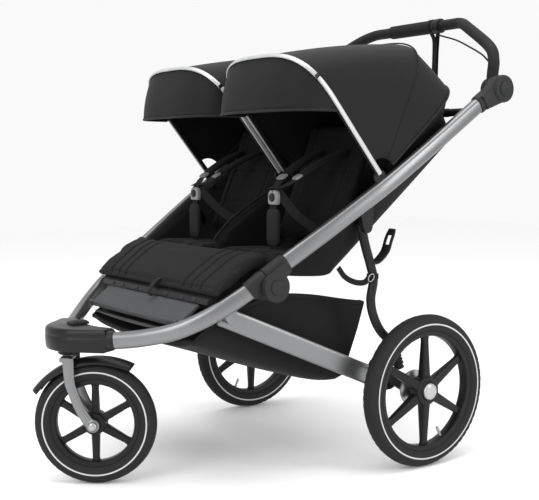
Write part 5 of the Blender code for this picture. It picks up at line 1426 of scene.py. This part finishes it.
piping_silver = surface("reflective_piping", (0.36, 0.364, 0.37), (0.47, 0.475, 0.48), (0.30, 0.42), 1500,
                        40, 0.00006, 0.35)
bow_front = Vector((0, math.cos(math.radians(FRONT_BOW - 90)), math.sin(math.radians(FRONT_BOW - 90))))
hem_cloth = cloth("hem_cloth", (0.0075, 0.0075, 0.008), (0.0145, 0.0145, 0.015), 3000, 0.00006, 0.72, 0.04)
for name, side in SIDES:
    bm = bmesh.new()
    rows = []
    for angle in np.linspace(HEM, FRONT_BOW, 34):
        rows.append([bm.verts.new(p) for p in arch_row(angle, side, cloth_reach(angle))])
    bridge(bm, rows)
    visor = [rows[-1][LEGS:-LEGS]]
    bow_spots = arch_row(FRONT_BOW, side)[LEGS:-LEGS]
    for k in np.linspace(0, 1, 11)[1:]:
        brim = visor_row(bow_spots, k)
        visor.append([bm.verts.new(p) for p in brim])
    bridge(bm, visor)
    shade_mesh = bm_mesh(bm, "canopy_sheet")
    shade = new_piece("canopy_shade_" + name, shade_mesh, None, canopy_cloth,
                      ["canopy_" + name], 0)
    thicken(shade, 0.0022)
    body = "canopy_" + name
    bm = bmesh.new()
    pipe = arch_row(FRONT_BOW, side, base=PIPING_FOOT, push=0.0022)
    sweep(bm, pipe, rounded(0.0052, 0.0118, 3.0, 16), up=bow_front)
    piping = new_piece("canopy_piping_" + name, bm, body, piping_silver)
    bm = bmesh.new()
    sweep(bm, brim, tube_section(0.0032, 12), up=None)
    hem = new_piece("canopy_hem_" + name, bm, body, hem_cloth)
    bm = bmesh.new()
    seam = arch_row(REAR_BOW, side, REACH + 0.0022, push=0.0012)
    sweep(bm, seam, rounded(0.0042, 0.0018, 2.0, 10), up=Vector((0, -math.sin(math.radians(REAR_BOW)),
                                                                  math.cos(math.radians(REAR_BOW)))))
    seam_piece = new_piece("canopy_seam_" + name, bm, None, hem_cloth)
    bm = bmesh.new()
    rows = []
    for i, angle in enumerate(np.linspace(HEM - 0.4, 19.5, 10)):
        inward = -0.0035 - 0.030 * min(1.0, i / 4)
        row = arch_row(angle, side, REACH - 0.002, LEG_BASE + 0.010, inward)
        rows.append([bm.verts.new(p) for p in row])
    bridge(bm, rows)
    curtain = new_piece("seat_rear_panel_" + name, bm, "main_frame", seat_cloth,
                        (), 0)
    thicken(curtain, 0.0018)
    bm = bmesh.new()
    back_hem = arch_row(HEM, side, push=0.001)
    sweep(bm, back_hem, tube_section(0.0028, 12), up=None)
    back_piece = new_piece("canopy_back_hem_" + name, bm, "main_frame", hem_cloth)
    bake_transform(shade)
    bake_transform(seam_piece)
    bm = bmesh.new()
    for sign in (-1, 1):
        x = (CANOPY_MID + (CANOPY_HALF - 0.004) * sign) * side
        hub = [(0.0, 0.0), (0.0165, 0.0), (0.0175, 0.0010), (0.0175, 0.0050), (0.0150, 0.0065),
               (0.0070, 0.0065), (0.0060, 0.0055), (0.0, 0.0055)]
        lathe(bm, hub, at(x, PIVOT_Y, PIVOT_Z), Vector((-sign * side, 0, 0)), 40)
        leg = [arch_point(FRONT_BOW, ((CANOPY_HALF - 0.0065) * sign, s), side)
               for s in np.linspace(0.0, 0.30, 12)]
        sweep(bm, leg, rounded(0.0035, 0.012, 4.0, 16), up=bow_front)
    new_piece("canopy_pivots_" + name, bm, body, gloss_black)

# ---- The overall boxes of the imported solids and of the finished scene, side by side.
seen_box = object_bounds()


def plain(value):
    if isinstance(value, dict):
        return {k: plain(v) for k, v in value.items()}
    return [plain(v) for v in value] if hasattr(value, "__len__") else float(value)


{"cad": plain(cad_box), "seen": plain(seen_box)}
